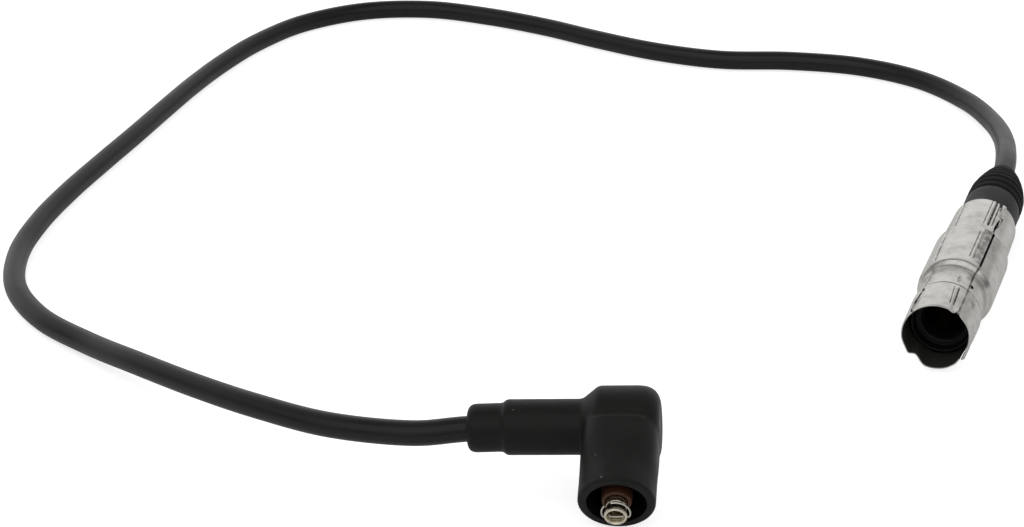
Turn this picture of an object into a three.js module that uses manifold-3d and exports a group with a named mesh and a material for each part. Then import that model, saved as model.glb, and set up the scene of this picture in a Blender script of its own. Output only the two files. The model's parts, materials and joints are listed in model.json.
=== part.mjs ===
// Spark plug wire, lying on the floor plane z = 0. Millimetres, +Z up.
// A sheet metal plug connector lies along +Y with its mouth towards -Y, a right-angled rubber connector
// rests on the edge of its mouth, and seven millimetre cable runs between them along the floor.
// The origin is under the middle of the two connectors.

import * as THREE from 'three';
import { mergeVertices } from 'three/addons/utils/BufferGeometryUtils.js';
import Module from 'manifold-3d';

const wasm = await Module();
wasm.setup();

// Clearances
const seatGap = 0.3; // kept between pieces that touch
const cableGap = 0.55; // round the cable, which bends a little inside its boots
const cutOver = 1; // how far a cutting shape passes through the face it opens

// Facets round a circle
const wideSides = 32;
const middleSides = 24;
const smallSides = 16;
const wireSides = 6;

// Cable
const cableDiameter = 7;
const cableSides = 10;
const cableSteps = 78;
const straightExit = 14; // how far the cable runs straight on from each rubber boot
const exitSag = 1.4; // how far it hangs below the elbow's arm there

// Sheet metal shield, stations counted from its mouth
const sheet = 0.4;
const mouthDiameter = 20.4;
const skirtDiameter = 20.8;
const skirtLength = 16.4;
const beadWidth = 1;
const beadDepth = 0.25;
const neckDiameter = 19.4;
const neckLength = 12.2;
const shoulderLength = 3.6;
const barrelDiameter = 23;
const barrelLength = 26;
const stepLength = 2.4;
const collarDiameter = 20.8;
const collarLength = 21.4;
const collarRimDiameter = 20;
const pressDepth = 0.35; // flutes and dimples, pressed in from outside
const seamAngle = 53; // degrees from +X towards +Z
const leftSlitAngle = 131;
const rightSlitAngle = 320;
const foldAngle = 228; // fold that turns the mouth inwards, steep on its left and shallow on its right
const foldDepth = 1.6;
const foldLeft = 11;
const foldRight = 27;
const flatAngle = 345; // where the mouth is squeezed a little flat
const flatDepth = 0.4;
const flatSpread = 36;
const nickDepth = 1.15; // where the corners of the sheet meet at the rim
const nickLeft = 0.95;
const nickRight = 1.8;
const slitWidth = 0.6;
const slitLength = 25;
const seamGapWidth = 0.8;
const ventHoleDiameter = 1.3;
const ventHoleAngle = 49;
const ventHoleStation = 20.7;
const hookWidth = 1.6;
const hookLift = 0.9;
const hookLength = 6;

// Outline of the gap where the seam runs out at the collar: from the collar's start, and sideways
const collarGap = [
  [-1, -0.5],
  [4.6, -0.5],
  [6.8, 0.4],
  [11.6, 0.5],
  [12.4, 1.5],
  [10.2, 1.7],
  [7, 1.3],
  [4.2, 0.5],
  [-1, 0.4],
];

// Inner pieces of the plug connector
const sealSetback = 12; // front face of the rubber seal behind the mouth
const sealLength = 15;
const sealBore = 10.8;
const sealLead = 2.6; // funnel that leads the plug's ceramic in
const noseDiameter = 13.6; // front end of the insulator, which the seal sits on
const noseLength = 10;
const ceramicBore = 11.6; // clear bore for the plug's ceramic
const ceramicDepth = 18;
const contactBore = 6.6; // takes the plug's terminal nut
const contactDepth = 9;
const contactLength = 11.5;
const contactWall = 0.9;
const contactTailDiameter = 4;
const contactTailLength = 3.2;
const resistorDiameter = 6;
const resistorReach = 17.4; // how far the resistor reaches past the barrel
const resistorCapLength = 4;
const capWall = 0.4;
const plugSpringLength = 9;
const plugSpringTurns = 5;
const tailDiameter = 12.2; // rear end of the insulator, inside the rubber boot
const tailGrip = 12.4; // how far it reaches over the cable's end

// Wood screws that hold the cable
const screwHeadLength = 2;
const screwShankDiameter = 2.6;
const screwShankLength = 3.4;
const screwPointLength = 5;

// Rubber boot of the plug connector
const bootLength = 44; // from the collar's rim to the boot's end
const bootTaperStart = 23; // from the collar's rim to where it begins to narrow
const bootExitDiameter = 9.4;
const bootEndLength = 1;
const ringStart = 14; // from the collar's rim to the first ring
const ringPitch = 4;
const ringCount = 6;
const ringGroove = 0.6;
const bootBend = 1.15; // the cable pulls the boot's end this far towards -X

// Elbow boot, stations counted from its mouth
const elbowDiameter = 20.4;
const elbowMouthBore = 15.8;
const elbowMouthDepth = 17;
const elbowRimRounding = 0.6;
const armStation = 26.8; // from the mouth to the arm's axis
const knuckleDiameter = 21.5;
const knuckleRounding = 5.8;
const knuckleEnd = 10.4; // from the body's axis to the knuckle's rounded end
const coneReach = 5.7; // from the body's axis to the start of the arm's cone
const armConeLength = 4.4;
const armDiameter = 15;
const armReach = 30.2;
const neckOuterDiameter = 13.1;
const neckReach = 41.4;
const neckRounding = 2.2;
const armStepLength = 1.6;

// Inner pieces of the elbow
const stubDiameter = 8.2;
const stubProud = 0.7; // how far the insulator stands out of the boot's mouth
const headDiameter = 12;
const insulatorArmDiameter = 10;
const insulatorArmReach = 24;
const sleeveProud = 5.8; // how far the contact sleeve stands out of the boot's mouth
const sleeveDiameter = 5.4;
const sleeveRimDiameter = 6.1;
const sleeveRimLength = 1.1;
const sleeveBore = 4.4;
const sleeveBoreDepth = 9;
const sleeveSeatDepth = 6.5; // how far the sleeve reaches into the insulator
const sleeveTailDiameter = 3.6;
const sleeveTailLength = 3.2;
const smallResistorDiameter = 4.2;
const smallResistorLength = 9.5;
const smallCapLength = 2.2;
const elbowSpringTurns = 3;
const elbowScrewBaseDiameter = 5;
const elbowScrewBaseLength = 15.5;
const elbowScrewReach = 12; // from the body's axis to the cable's end

// Spring wire clips
const clipWire = 0.6;
const elbowClipDiameter = 7.4;
const elbowClipSetback = 1.7; // behind the sleeve's front face
const plugClipSetback = 3.5;
const clipLegShare = 0.42; // how far from the axis the straight leg crosses, as a share of the ring's radius
const clipGapFrom = 108; // degrees, where the ring is open
const clipGapTo = 136;
const springWire = 0.7;

// How the two connectors lie, in opposite corners of a rectangle on the floor
const layWidth = 120.25;
const layLength = 246.6;
const elbowPitch = 17.9;
const elbowRoll = -2.2;
const elbowYaw = 13.3;

// The cable's route over the floor, from the elbow to the plug connector: x, y and how high it is lifted
const cableRoute = [
  [-97.9, -103.7, 9.1],
  [-123.4, -96.7, 7.9],
  [-147.9, -86.2, 6],
  [-171.9, -74.2, 4],
  [-194.4, -60.9, 1],
  [-217.4, -47.7, 0.2],
  [-236.4, -29.2, 0.1],
  [-248.6, -5.3, 0],
  [-254.8, 20.3, 0],
  [-257.7, 46.8, 0],
  [-258.9, 73.8, 0],
  [-259.7, 100.3, 0],
  [-260.8, 126.8, 0],
  [-261.6, 153.3, 0],
  [-260.9, 179.8, 0],
  [-257.6, 206.2, 0],
  [-249, 231.4, 0],
  [-231, 251.4, 0],
  [-206.4, 260, 0],
  [-180, 257.8, 0],
  [-153.8, 251.2, 0],
  [-128.8, 242, 0],
  [-103.4, 234.4, 0],
  [-76.9, 231.8, 0],
  [-50.9, 237.2, 0],
  [-24.4, 237.7, 0],
  [0.2, 229, 0],
  [20.4, 211.1, 0.2],
  [33.5, 187.9, 2],
  [41.4, 163.8, 5],
];

// Values that follow from the sizes
const cableRadius = cableDiameter / 2;
const cableBore = cableDiameter / 2 + cableGap;
const skirtEnd = skirtLength;
const neckEnd = skirtEnd + neckLength;
const shoulderEnd = neckEnd + shoulderLength;
const barrelEnd = shoulderEnd + barrelLength;
const collarStart = barrelEnd + stepLength;
const collarEnd = collarStart + collarLength;
const innerClear = sheet + pressDepth + seatGap; // from the shield's outside to what lies in it
const bootRadius = collarRimDiameter / 2 - innerClear;
const noseStart = sealSetback + sealLength - noseLength + seatGap;
const ceramicEnd = noseStart + ceramicDepth;
const contactOuterRadius = contactBore / 2 + contactWall;
const plugClipDiameter = 2 * contactOuterRadius + clipWire + 2 * seatGap;
const contactChamberRadius = plugClipDiameter / 2 + clipWire / 2 + seatGap;
const contactFront = ceramicEnd + seatGap;
const contactBack = contactFront + contactLength;
const contactTailEnd = contactBack + contactTailLength;
const resistorStart = contactTailEnd + seatGap;
const resistorEnd = barrelEnd + resistorReach;
const plugSpringStart = resistorEnd + seatGap;
const plugSpringEnd = plugSpringStart + plugSpringLength;
const plugScrewStart = plugSpringEnd + seatGap;
const plugCableEnd = plugScrewStart + screwHeadLength + seatGap;
const tailEnd = plugCableEnd + tailGrip;
const bootStart = collarStart + cutOver;
const bootEnd = collarEnd + bootLength;
const taperStart = collarEnd + bootTaperStart;
const taperEnd = bootEnd - bootEndLength;

// Materials
const finishes = {
  rubber: { color: 0x1d1d1b, roughness: 0.62, metalness: 0 },
  cable: { color: 0x2c2b2a, roughness: 0.42, metalness: 0 },
  shield: { color: 0xc9c8c4, roughness: 0.3, metalness: 0.9 },
  nickel: { color: 0xc9c4b4, roughness: 0.28, metalness: 1 },
  spring: { color: 0xb9b9b6, roughness: 0.3, metalness: 1 },
  brownResin: { color: 0x4a2b20, roughness: 0.5, metalness: 0 },
  blackResin: { color: 0x161514, roughness: 0.5, metalness: 0 },
  ceramic: { color: 0xd8d2c2, roughness: 0.55, metalness: 0 },
  brass: { color: 0xb08d4a, roughness: 0.35, metalness: 1 },
};

const materials = Object.fromEntries(
  Object.entries(finishes).map(([name, finish]) => [name, new THREE.MeshStandardMaterial(finish)]),
);

// Turns a closed geometry into a solid that can be joined and cut
function toSolid(geometry) {
  const bare = geometry.index ? geometry.clone() : geometry;
  for (const name of Object.keys(bare.attributes)) {
    if (name !== 'position') {
      bare.deleteAttribute(name);
    }
  }
  const merged = mergeVertices(bare, 1e-5);
  const corners = merged.index.array;
  const kept = [];
  for (let i = 0; i < corners.length; i += 3) {
    const [a, b, c] = [corners[i], corners[i + 1], corners[i + 2]];
    if (a !== b && b !== c && c !== a) {
      kept.push(a, b, c);
    }
  }
  const mesh = new wasm.Mesh({
    numProp: 3,
    vertProperties: Float32Array.from(merged.attributes.position.array),
    triVerts: Uint32Array.from(kept),
  });
  return new wasm.Manifold(mesh);
}

// Turns a solid back into a geometry
function toGeometry(solid) {
  const mesh = solid.getMesh();
  const geometry = new THREE.BufferGeometry();
  geometry.setAttribute('position', new THREE.BufferAttribute(Float32Array.from(mesh.vertProperties), 3));
  geometry.setIndex(new THREE.BufferAttribute(Uint32Array.from(mesh.triVerts), 1));
  geometry.computeVertexNormals();
  return geometry;
}

function join(...solids) {
  return solids.reduce((whole, next) => whole.add(next));
}

function cut(solid, ...cutters) {
  return cutters.reduce((rest, cutter) => rest.subtract(cutter), solid);
}

// Outline of a turned piece. Each corner is [station along the axis, radius, rounding]
function outline(corners, steps = 3) {
  const path = new THREE.Path();
  corners.forEach(([along, radius, rounding = 0], index) => {
    const corner = new THREE.Vector2(radius, along);
    if (index === 0) {
      path.moveTo(corner.x, corner.y);
      return;
    }
    if (rounding === 0) {
      path.lineTo(corner.x, corner.y);
      return;
    }
    const [beforeAlong, beforeRadius] = corners[index - 1];
    const [afterAlong, afterRadius] = corners[index + 1];
    const before = new THREE.Vector2(beforeRadius, beforeAlong).sub(corner).setLength(rounding).add(corner);
    const after = new THREE.Vector2(afterRadius, afterAlong).sub(corner).setLength(rounding).add(corner);
    path.lineTo(before.x, before.y);
    path.quadraticCurveTo(corner.x, corner.y, after.x, after.y);
  });
  return path.getPoints(steps);
}

// A piece turned about the Y axis. Its outline runs from the axis to the axis, or closes on itself
function turned(corners, sides = smallSides, steps = 3) {
  return toSolid(new THREE.LatheGeometry(outline(corners, steps), sides));
}

// A plain rod about the Y axis
function rod(from, to, radius, sides = smallSides) {
  return turned([[from, 0], [from, radius], [to, radius], [to, 0]], sides);
}

// A solid turned about Y, laid along -X at the arm's station of the elbow
function alongArm(solid) {
  return solid.rotate([0, 0, 90]).translate([0, armStation, 0]);
}

// A round wire along a curve
function wire(curve, steps, radius, sides = wireSides) {
  const section = new THREE.Shape();
  for (let k = 0; k < sides; k += 1) {
    const angle = (k / sides) * Math.PI * 2;
    const method = k === 0 ? 'moveTo' : 'lineTo';
    section[method](radius * Math.cos(angle), radius * Math.sin(angle));
  }
  section.closePath();
  return new THREE.ExtrudeGeometry(section, { steps, extrudePath: curve, bevelEnabled: false });
}

// Compression spring about the Y axis with closed ends
class SpringCurve extends THREE.Curve {
  constructor(from, to, radius, turns, wireDiameter) {
    super();
    Object.assign(this, { from, to, radius, turns, wireDiameter });
  }

  getPoint(t, target = new THREE.Vector3()) {
    const closed = 0.75 / this.turns; // share of the wire in each closed end
    const low = this.from + this.wireDiameter / 2;
    const high = this.to - this.wireDiameter / 2;
    const rise = THREE.MathUtils.smoothstep(t, closed / 2, 1 - closed / 2);
    const flat = this.wireDiameter * 0.75;
    const first = THREE.MathUtils.clamp(t / closed, 0, 1);
    const last = THREE.MathUtils.clamp((t - 1 + closed) / closed, 0, 1);
    const along = low + flat * (first + last) + (high - low - 2 * flat) * rise;
    const angle = t * this.turns * Math.PI * 2;
    return target.set(this.radius * Math.cos(angle), along, this.radius * Math.sin(angle));
  }
}

function spring(from, to, outerDiameter, turns) {
  const radius = outerDiameter / 2 - springWire / 2;
  const curve = new SpringCurve(from, to, radius, turns, springWire);
  return toSolid(wire(curve, turns * 10, springWire / 2));
}

// Spring wire clip: an open ring about the Y axis whose ends meet a straight leg across the bore
class ClipCurve extends THREE.Curve {
  constructor(radius) {
    super();
    this.radius = radius;
    this.legAngle = Math.asin(clipLegShare);
  }

  getPoint(t, target = new THREE.Vector3()) {
    const left = new THREE.Vector2(Math.PI + this.legAngle, THREE.MathUtils.degToRad(clipGapTo));
    const right = new THREE.Vector2(-this.legAngle, THREE.MathUtils.degToRad(clipGapFrom));
    const leftArc = this.radius * (left.x - left.y);
    const rightArc = this.radius * (right.y - right.x);
    const leg = 2 * this.radius * Math.cos(this.legAngle);
    const run = t * (leftArc + leg + rightArc);
    if (run >= leftArc && run <= leftArc + leg) {
      const x = -leg / 2 + (run - leftArc);
      return target.set(x, 0, -this.radius * clipLegShare);
    }
    const angle = run < leftArc ? left.y + run / this.radius : right.x + (run - leftArc - leg) / this.radius;
    return target.set(this.radius * Math.cos(angle), 0, this.radius * Math.sin(angle));
  }
}

function springClip(ringDiameter, station) {
  const curve = new ClipCurve(ringDiameter / 2);
  return toSolid(wire(curve, 30, clipWire / 2)).translate([0, station, 0]);
}

// Slots through a contact's wall for the clip's straight leg
function clipSlots(ringDiameter, station) {
  const height = clipWire + 2 * seatGap;
  const slot = new THREE.BoxGeometry(ringDiameter * 2, height, height);
  return toSolid(slot).translate([0, station, -(ringDiameter / 2) * clipLegShare]);
}

// Rubber pieces and inserts

// Metal cap pressed on the end of a resistor, open towards +Y
function resistorCap(outerDiameter, length) {
  const outer = outerDiameter / 2;
  const inner = outer - capWall;
  return turned([
    [0, 0],
    [0, outer, capWall / 2],
    [length, outer],
    [length, inner],
    [capWall, inner],
    [capWall, 0],
  ]);
}

// Ceramic core and its two caps, from one station to another
function resistorSet(prefix, from, to, outerDiameter, capLength, finish) {
  const core = outerDiameter / 2 - capWall - seatGap;
  const coreStart = from + capWall + seatGap;
  const coreEnd = to - capWall - seatGap;
  const cap = resistorCap(outerDiameter, capLength);
  return [
    [`${prefix}_resistor_front_cap`, cap.translate([0, from, 0]), finish.cap],
    [`${prefix}_resistor_core`, turned([
      [coreStart, 0],
      [coreStart, core, core * 0.2],
      [coreEnd, core, core * 0.2],
      [coreEnd, 0],
    ]), finish.core],
    [`${prefix}_resistor_rear_cap`, cap.rotate([180, 0, 0]).translate([0, to, 0]), finish.cap],
  ];
}

// Brass screw with a wood screw point towards +Y, its head starting at station 0
function cableScrew(headDiameter, headLength) {
  const head = headDiameter / 2;
  const shank = screwShankDiameter / 2;
  const shankEnd = headLength + seatGap + screwShankLength;
  return turned([
    [0, 0],
    [0, head, 0.3],
    [headLength, head, 0.3],
    [headLength, shank],
    [shankEnd, shank],
    [shankEnd + screwPointLength, 0],
  ]);
}

// The sheet metal shield

// Outside radius of the shield at the stations where its form changes
const shieldStations = [
  [0, mouthDiameter / 2 - 0.15],
  [0.5, mouthDiameter / 2],
  [skirtEnd * 0.45, THREE.MathUtils.lerp(mouthDiameter, skirtDiameter, 0.45) / 2],
  [skirtEnd - beadWidth / 2, skirtDiameter / 2],
  [skirtEnd, skirtDiameter / 2 - beadDepth],
  [skirtEnd + beadWidth / 2, skirtDiameter / 2 - 0.1],
  [skirtEnd + neckLength * 0.35, THREE.MathUtils.lerp(skirtDiameter, neckDiameter, 0.45) / 2],
  [skirtEnd + neckLength * 0.7, THREE.MathUtils.lerp(skirtDiameter, neckDiameter, 0.85) / 2],
  [neckEnd, neckDiameter / 2],
  [neckEnd + shoulderLength * 0.2, THREE.MathUtils.lerp(neckDiameter, barrelDiameter, 0.2) / 2],
  [neckEnd + shoulderLength * 0.5, THREE.MathUtils.lerp(neckDiameter, barrelDiameter, 0.72) / 2],
  [neckEnd + shoulderLength * 0.75, THREE.MathUtils.lerp(neckDiameter, barrelDiameter, 0.93) / 2],
  [shoulderEnd, barrelDiameter / 2],
  [shoulderEnd + barrelLength * 0.5, barrelDiameter / 2],
  [barrelEnd - 1, barrelDiameter / 2],
  [barrelEnd, barrelDiameter / 2 - 0.15],
  [collarStart, collarDiameter / 2],
  [collarStart + 2, collarDiameter / 2],
  [collarStart + collarLength * 0.5, THREE.MathUtils.lerp(collarDiameter, collarRimDiameter, 0.5) / 2],
  [collarEnd - 0.8, collarRimDiameter / 2],
  [collarEnd, collarRimDiameter / 2],
];

// Something pressed into the sheet: its angle, how far it spreads towards smaller and larger angles, its
// depth, and the stations it runs between
function press(angle, [below, above], depth, [from, to], ease) {
  return { angle, below, above, depth, from, to, ease };
}

const presses = [
  press(seamAngle + 22.5, [2.6, 2.6], pressDepth, [collarStart + 1.6, collarEnd + 1], 1.5),
  press(seamAngle + 13, [2.6, 2.6], pressDepth, [collarStart + 1.6, collarEnd + 1], 1.5),
  press(seamAngle + 19, [2, 2], pressDepth * 0.6, [shoulderEnd + 2, barrelEnd - 1], 2),
  press(seamAngle + 19, [4, 4], pressDepth, [skirtEnd + 2.5, neckEnd - 2], 3),
  press(seamAngle + 18, [4.5, 4.5], pressDepth, [1.5, skirtEnd - 1.2], 1.5),
  press(leftSlitAngle - 3, [1.6, 1.6], pressDepth * 0.4, [shoulderEnd, collarEnd + 1], 1),
  press(foldAngle, [foldLeft, foldRight], foldDepth, [-3, skirtEnd], skirtEnd),
  press(flatAngle, [flatSpread, flatSpread], flatDepth, [-3, skirtEnd * 0.7], 5),
];

// How deep the sheet is pressed in at an angle and a station
function pressAt(angle, station) {
  let depth = 0;
  for (const form of presses) {
    const turn = THREE.MathUtils.euclideanModulo(angle - form.angle + 180, 360) - 180;
    const across = Math.max(0, 1 - Math.abs(turn) / (turn < 0 ? form.below : form.above));
    const entering = THREE.MathUtils.clamp((station - form.from) / form.ease, 0, 1);
    const leaving = THREE.MathUtils.clamp((form.to - station) / form.ease, 0, 1);
    depth = Math.max(depth, form.depth * across * Math.min(entering, leaving));
  }
  return depth;
}

// Angles at which the sheet has an edge: an even spacing, and closer where something narrow is pressed in
function shieldAngles() {
  const even = Array.from({ length: wideSides }, (_, k) => (k * 360) / wideSides);
  const narrow = presses
    .filter((form) => form.below < 360 / wideSides)
    .flatMap((form) => [form.angle - form.below, form.angle, form.angle + form.above]);
  const all = [...narrow, ...even].map((angle) => THREE.MathUtils.euclideanModulo(angle, 360));
  const kept = [];
  for (const angle of all) {
    const nearest = Math.min(...kept.map((other) => Math.abs(other - angle)), Infinity);
    if (nearest > 1.2) {
      kept.push(angle);
    }
  }
  return kept.sort((a, b) => a - b);
}

// The sheet before its slits are cut: a turned shell whose points are moved in where it is pressed
function pressedSheet() {
  const outside = shieldStations.map(([station, radius]) => new THREE.Vector2(radius, station));
  const inside = outside.map((point) => new THREE.Vector2(point.x - sheet, point.y)).reverse();
  const profile = [...outside, ...inside, outside[0].clone()];
  const angles = shieldAngles();
  const shell = new THREE.LatheGeometry(profile, angles.length);
  const points = shell.attributes.position;
  for (let i = 0; i < points.count; i += 1) {
    const turn = Math.floor(i / profile.length) % angles.length;
    const { x: radius, y: station } = profile[i % profile.length];
    const pressed = radius - pressAt(angles[turn], station);
    const angle = THREE.MathUtils.degToRad(angles[turn]);
    points.setXYZ(i, pressed * Math.cos(angle), station, pressed * Math.sin(angle));
  }
  return toSolid(flipped(shell));
}

// The angles above run the other way round than a lathe's, so the faces are turned over
function flipped(geometry) {
  const corners = geometry.index.array;
  for (let i = 0; i < corners.length; i += 3) {
    [corners[i], corners[i + 1]] = [corners[i + 1], corners[i]];
  }
  return geometry;
}

// A flat outline in the shield's unrolled sheet, [station, sideways], pushed through the wall at an angle
function sheetCutter(corners, angle) {
  const shape = new THREE.Shape(corners.map(([station, sideways]) => new THREE.Vector2(sideways, station)));
  const depth = barrelDiameter / 2;
  const block = new THREE.ExtrudeGeometry(shape, { depth, bevelEnabled: false });
  const reach = depth * 0.45;
  return toSolid(block)
    .translate([0, 0, reach])
    .rotate([0, 90 - angle, 0]);
}

function slitCutter(from, to, width, angle) {
  return sheetCutter([[from, -width / 2], [to, -width / 2], [to, width / 2], [from, width / 2]], angle);
}

// Hooked tongue at the collar's rim, which closes the seam there
function seamHook() {
  const top = collarRimDiameter / 2;
  const peak = top + hookLift;
  const start = collarEnd - hookLength;
  const side = new THREE.Shape();
  side.moveTo(top - sheet * 0.75, start);
  side.lineTo(top + sheet * 0.5, start);
  side.quadraticCurveTo(peak, start + hookLength * 0.25, peak, start + hookLength * 0.6);
  side.quadraticCurveTo(peak, collarEnd + 0.6, top, collarEnd + 0.6);
  side.lineTo(top, collarEnd + 0.6 - sheet);
  side.quadraticCurveTo(peak - sheet, collarEnd + 0.2, peak - sheet, start + hookLength * 0.6);
  side.quadraticCurveTo(peak - sheet, start + hookLength * 0.3, top - sheet * 0.75, start + sheet);
  const tongue = new THREE.ExtrudeGeometry(side, { depth: hookWidth, bevelEnabled: false, curveSegments: 4 });
  return toSolid(tongue).translate([0, 0, -hookWidth / 2]).rotate([0, -seamAngle, 0]);
}

function plugShield() {
  const openSeam = slitCutter(shoulderEnd + 0.6, barrelEnd + 0.4, seamGapWidth, seamAngle);
  const gap = collarGap.map(([along, sideways]) => [collarStart + along, sideways]);
  const openCollar = sheetCutter(gap, seamAngle);
  const widening = 1 + cutOver / nickDepth;
  const nick = sheetCutter([
    [-cutOver, -nickLeft * widening],
    [nickDepth, 0],
    [-cutOver, nickRight * widening],
  ], seamAngle + 1.5);
  const slits = [leftSlitAngle, rightSlitAngle]
    .map((angle) => slitCutter(-cutOver, slitLength, slitWidth, angle));
  const vent = rod(0, barrelDiameter, ventHoleDiameter / 2, 12)
    .rotate([0, 0, -90])
    .rotate([0, -ventHoleAngle, 0])
    .translate([0, ventHoleStation, 0]);
  return cut(join(pressedSheet(), seamHook()), openSeam, openCollar, nick, vent, ...slits);
}

// Insides of the plug connector

function plugInsulator() {
  const nose = noseDiameter / 2;
  const neck = neckDiameter / 2 - innerClear;
  const barrel = barrelDiameter / 2 - innerClear;
  const tail = tailDiameter / 2;
  const flange = sealSetback + sealLength + seatGap;
  const resistorBore = resistorDiameter / 2 + seatGap;
  const body = turned([
    [noseStart, 0],
    [noseStart, nose, 0.5],
    [flange, nose],
    [flange, neck],
    [neckEnd, neck],
    [shoulderEnd, barrel],
    [barrelEnd - seatGap, barrel, 0.6],
    [barrelEnd - seatGap, tail],
    [tailEnd, tail, 0.5],
    [tailEnd, 0],
  ], wideSides, 2);
  const bore = turned([
    [noseStart - cutOver, 0],
    [noseStart - cutOver, ceramicBore / 2],
    [ceramicEnd, ceramicBore / 2],
    [ceramicEnd, contactChamberRadius],
    [contactBack + seatGap, contactChamberRadius],
    [contactBack + seatGap, resistorBore],
    [plugCableEnd - seatGap, resistorBore],
    [plugCableEnd - seatGap, cableBore],
    [tailEnd + cutOver, cableBore],
    [tailEnd + cutOver, 0],
  ], middleSides);
  return cut(body, bore);
}

function plugSeal() {
  const outer = neckDiameter / 2 - innerClear;
  const back = sealSetback + sealLength;
  const pocket = noseStart - seatGap;
  return turned([
    [sealSetback, sealBore / 2 + 1.2],
    [sealSetback, outer, 0.5],
    [back, outer],
    [back, noseDiameter / 2 + seatGap],
    [pocket, noseDiameter / 2 + seatGap],
    [pocket, sealBore / 2],
    [sealSetback + sealLead, sealBore / 2],
    [sealSetback, sealBore / 2 + 1.2],
  ], wideSides, 2);
}

function plugContact() {
  const cup = turned([
    [contactFront, contactBore / 2],
    [contactFront, contactOuterRadius, 0.3],
    [contactBack, contactOuterRadius, 0.3],
    [contactBack, contactTailDiameter / 2],
    [contactTailEnd, contactTailDiameter / 2, 0.3],
    [contactTailEnd, 0],
    [contactFront + contactDepth, 0],
    [contactFront + contactDepth, contactBore / 2],
    [contactFront, contactBore / 2],
  ], middleSides, 2);
  return cut(cup, clipSlots(plugClipDiameter, contactFront + plugClipSetback));
}

// How far the boot's axis is pulled to one side, from the insulator's end on
function bendAt(station) {
  const share = Math.max(0, (station - tailEnd) / (bootEnd - tailEnd));
  return bootBend * (share < 1 ? share ** 2 : 2 * share - 1);
}

// Outside radius of the rubber boot, narrowing towards the cable
function bootOutside(station) {
  const share = THREE.MathUtils.clamp((station - taperStart) / (taperEnd - taperStart), 0, 1);
  return THREE.MathUtils.lerp(bootRadius, bootExitDiameter / 2, share ** 1.4);
}

function plugBoot() {
  const firstRing = collarEnd + ringStart;
  const rings = Array.from({ length: ringCount }, (_, k) => {
    const start = firstRing + k * ringPitch;
    const bottom = start + ringPitch * 0.2;
    const top = start + ringPitch * 0.45;
    return [
      [start, bootOutside(start)],
      [bottom, bootOutside(bottom) - ringGroove],
      [top, bootOutside(top)],
    ];
  }).flat();
  const tailBore = tailDiameter / 2 + seatGap;
  return turned([
    [bootStart, tailBore],
    [bootStart, bootRadius, 0.5],
    ...rings,
    [taperEnd, bootExitDiameter / 2],
    [bootEnd, bootExitDiameter / 2 - 0.4, 0.3],
    [bootEnd, cableBore],
    [tailEnd + seatGap, cableBore],
    [tailEnd + seatGap, tailBore],
    [bootStart, tailBore],
  ], wideSides, 2).warp((point) => {
    point[0] -= bendAt(point[1]);
  });
}

// The elbow connector

// Outer form of the resin insulator, grown by a clearance when it is used as the boot's cavity
function elbowInsulatorForm(clearance) {
  const headStart = elbowMouthDepth + seatGap;
  const head = headDiameter / 2 + clearance;
  const stem = turned([
    [-stubProud - clearance, 0],
    [-stubProud - clearance, stubDiameter / 2 + clearance],
    [headStart - clearance, stubDiameter / 2 + clearance],
    [headStart - clearance, head],
    [armStation, head],
    [armStation, 0],
  ], middleSides);
  const arm = turned([
    [-headDiameter / 2 - clearance, 0],
    [-headDiameter / 2 - clearance, head, 1.2],
    [headDiameter / 2 + 2 + clearance, head],
    [headDiameter / 2 + 3 + clearance, insulatorArmDiameter / 2 + clearance],
    [insulatorArmReach + clearance, insulatorArmDiameter / 2 + clearance],
    [insulatorArmReach + clearance, 0],
  ], middleSides);
  return join(stem, alongArm(arm));
}

function elbowInsulator() {
  const sleeveHole = sleeveDiameter / 2 + seatGap;
  const resistorHole = smallResistorDiameter / 2 + seatGap;
  const stemBore = turned([
    [-stubProud - cutOver, 0],
    [-stubProud - cutOver, sleeveHole],
    [sleeveSeatDepth + seatGap, sleeveHole],
    [sleeveSeatDepth + seatGap, resistorHole],
    [armStation, resistorHole],
    [armStation, 0],
  ], middleSides);
  const base = elbowScrewBaseDiameter / 2 + seatGap;
  const armBore = turned([
    [elbowScrewReach - elbowScrewBaseLength - 2 * seatGap, 0],
    [elbowScrewReach - elbowScrewBaseLength - 2 * seatGap, base],
    [elbowScrewReach - seatGap, base],
    [elbowScrewReach - seatGap, cableBore],
    [insulatorArmReach + cutOver, cableBore],
    [insulatorArmReach + cutOver, 0],
  ]);
  return cut(elbowInsulatorForm(0), stemBore, alongArm(armBore));
}

function elbowBoot() {
  const radius = elbowDiameter / 2;
  const knuckle = knuckleDiameter / 2;
  const body = turned([
    [0, 0],
    [0, radius, elbowRimRounding],
    [armStation, radius],
    [armStation, 0],
  ], wideSides);
  const arm = turned([
    [-knuckleEnd, 0],
    [-knuckleEnd, knuckle, knuckleRounding],
    [coneReach, knuckle],
    [coneReach + armConeLength, armDiameter / 2],
    [armReach, armDiameter / 2],
    [armReach + armStepLength, neckOuterDiameter / 2],
    [neckReach, neckOuterDiameter / 2, neckRounding],
    [neckReach, 0],
  ], wideSides, 4);
  const mouth = turned([
    [-cutOver, 0],
    [-cutOver, elbowMouthBore / 2],
    [elbowMouthDepth, elbowMouthBore / 2],
    [elbowMouthDepth, 0],
  ], wideSides);
  const cableHole = rod(insulatorArmReach, neckReach + cutOver, cableBore);
  return cut(join(body, alongArm(arm)), mouth, elbowInsulatorForm(seatGap), alongArm(cableHole));
}

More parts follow.
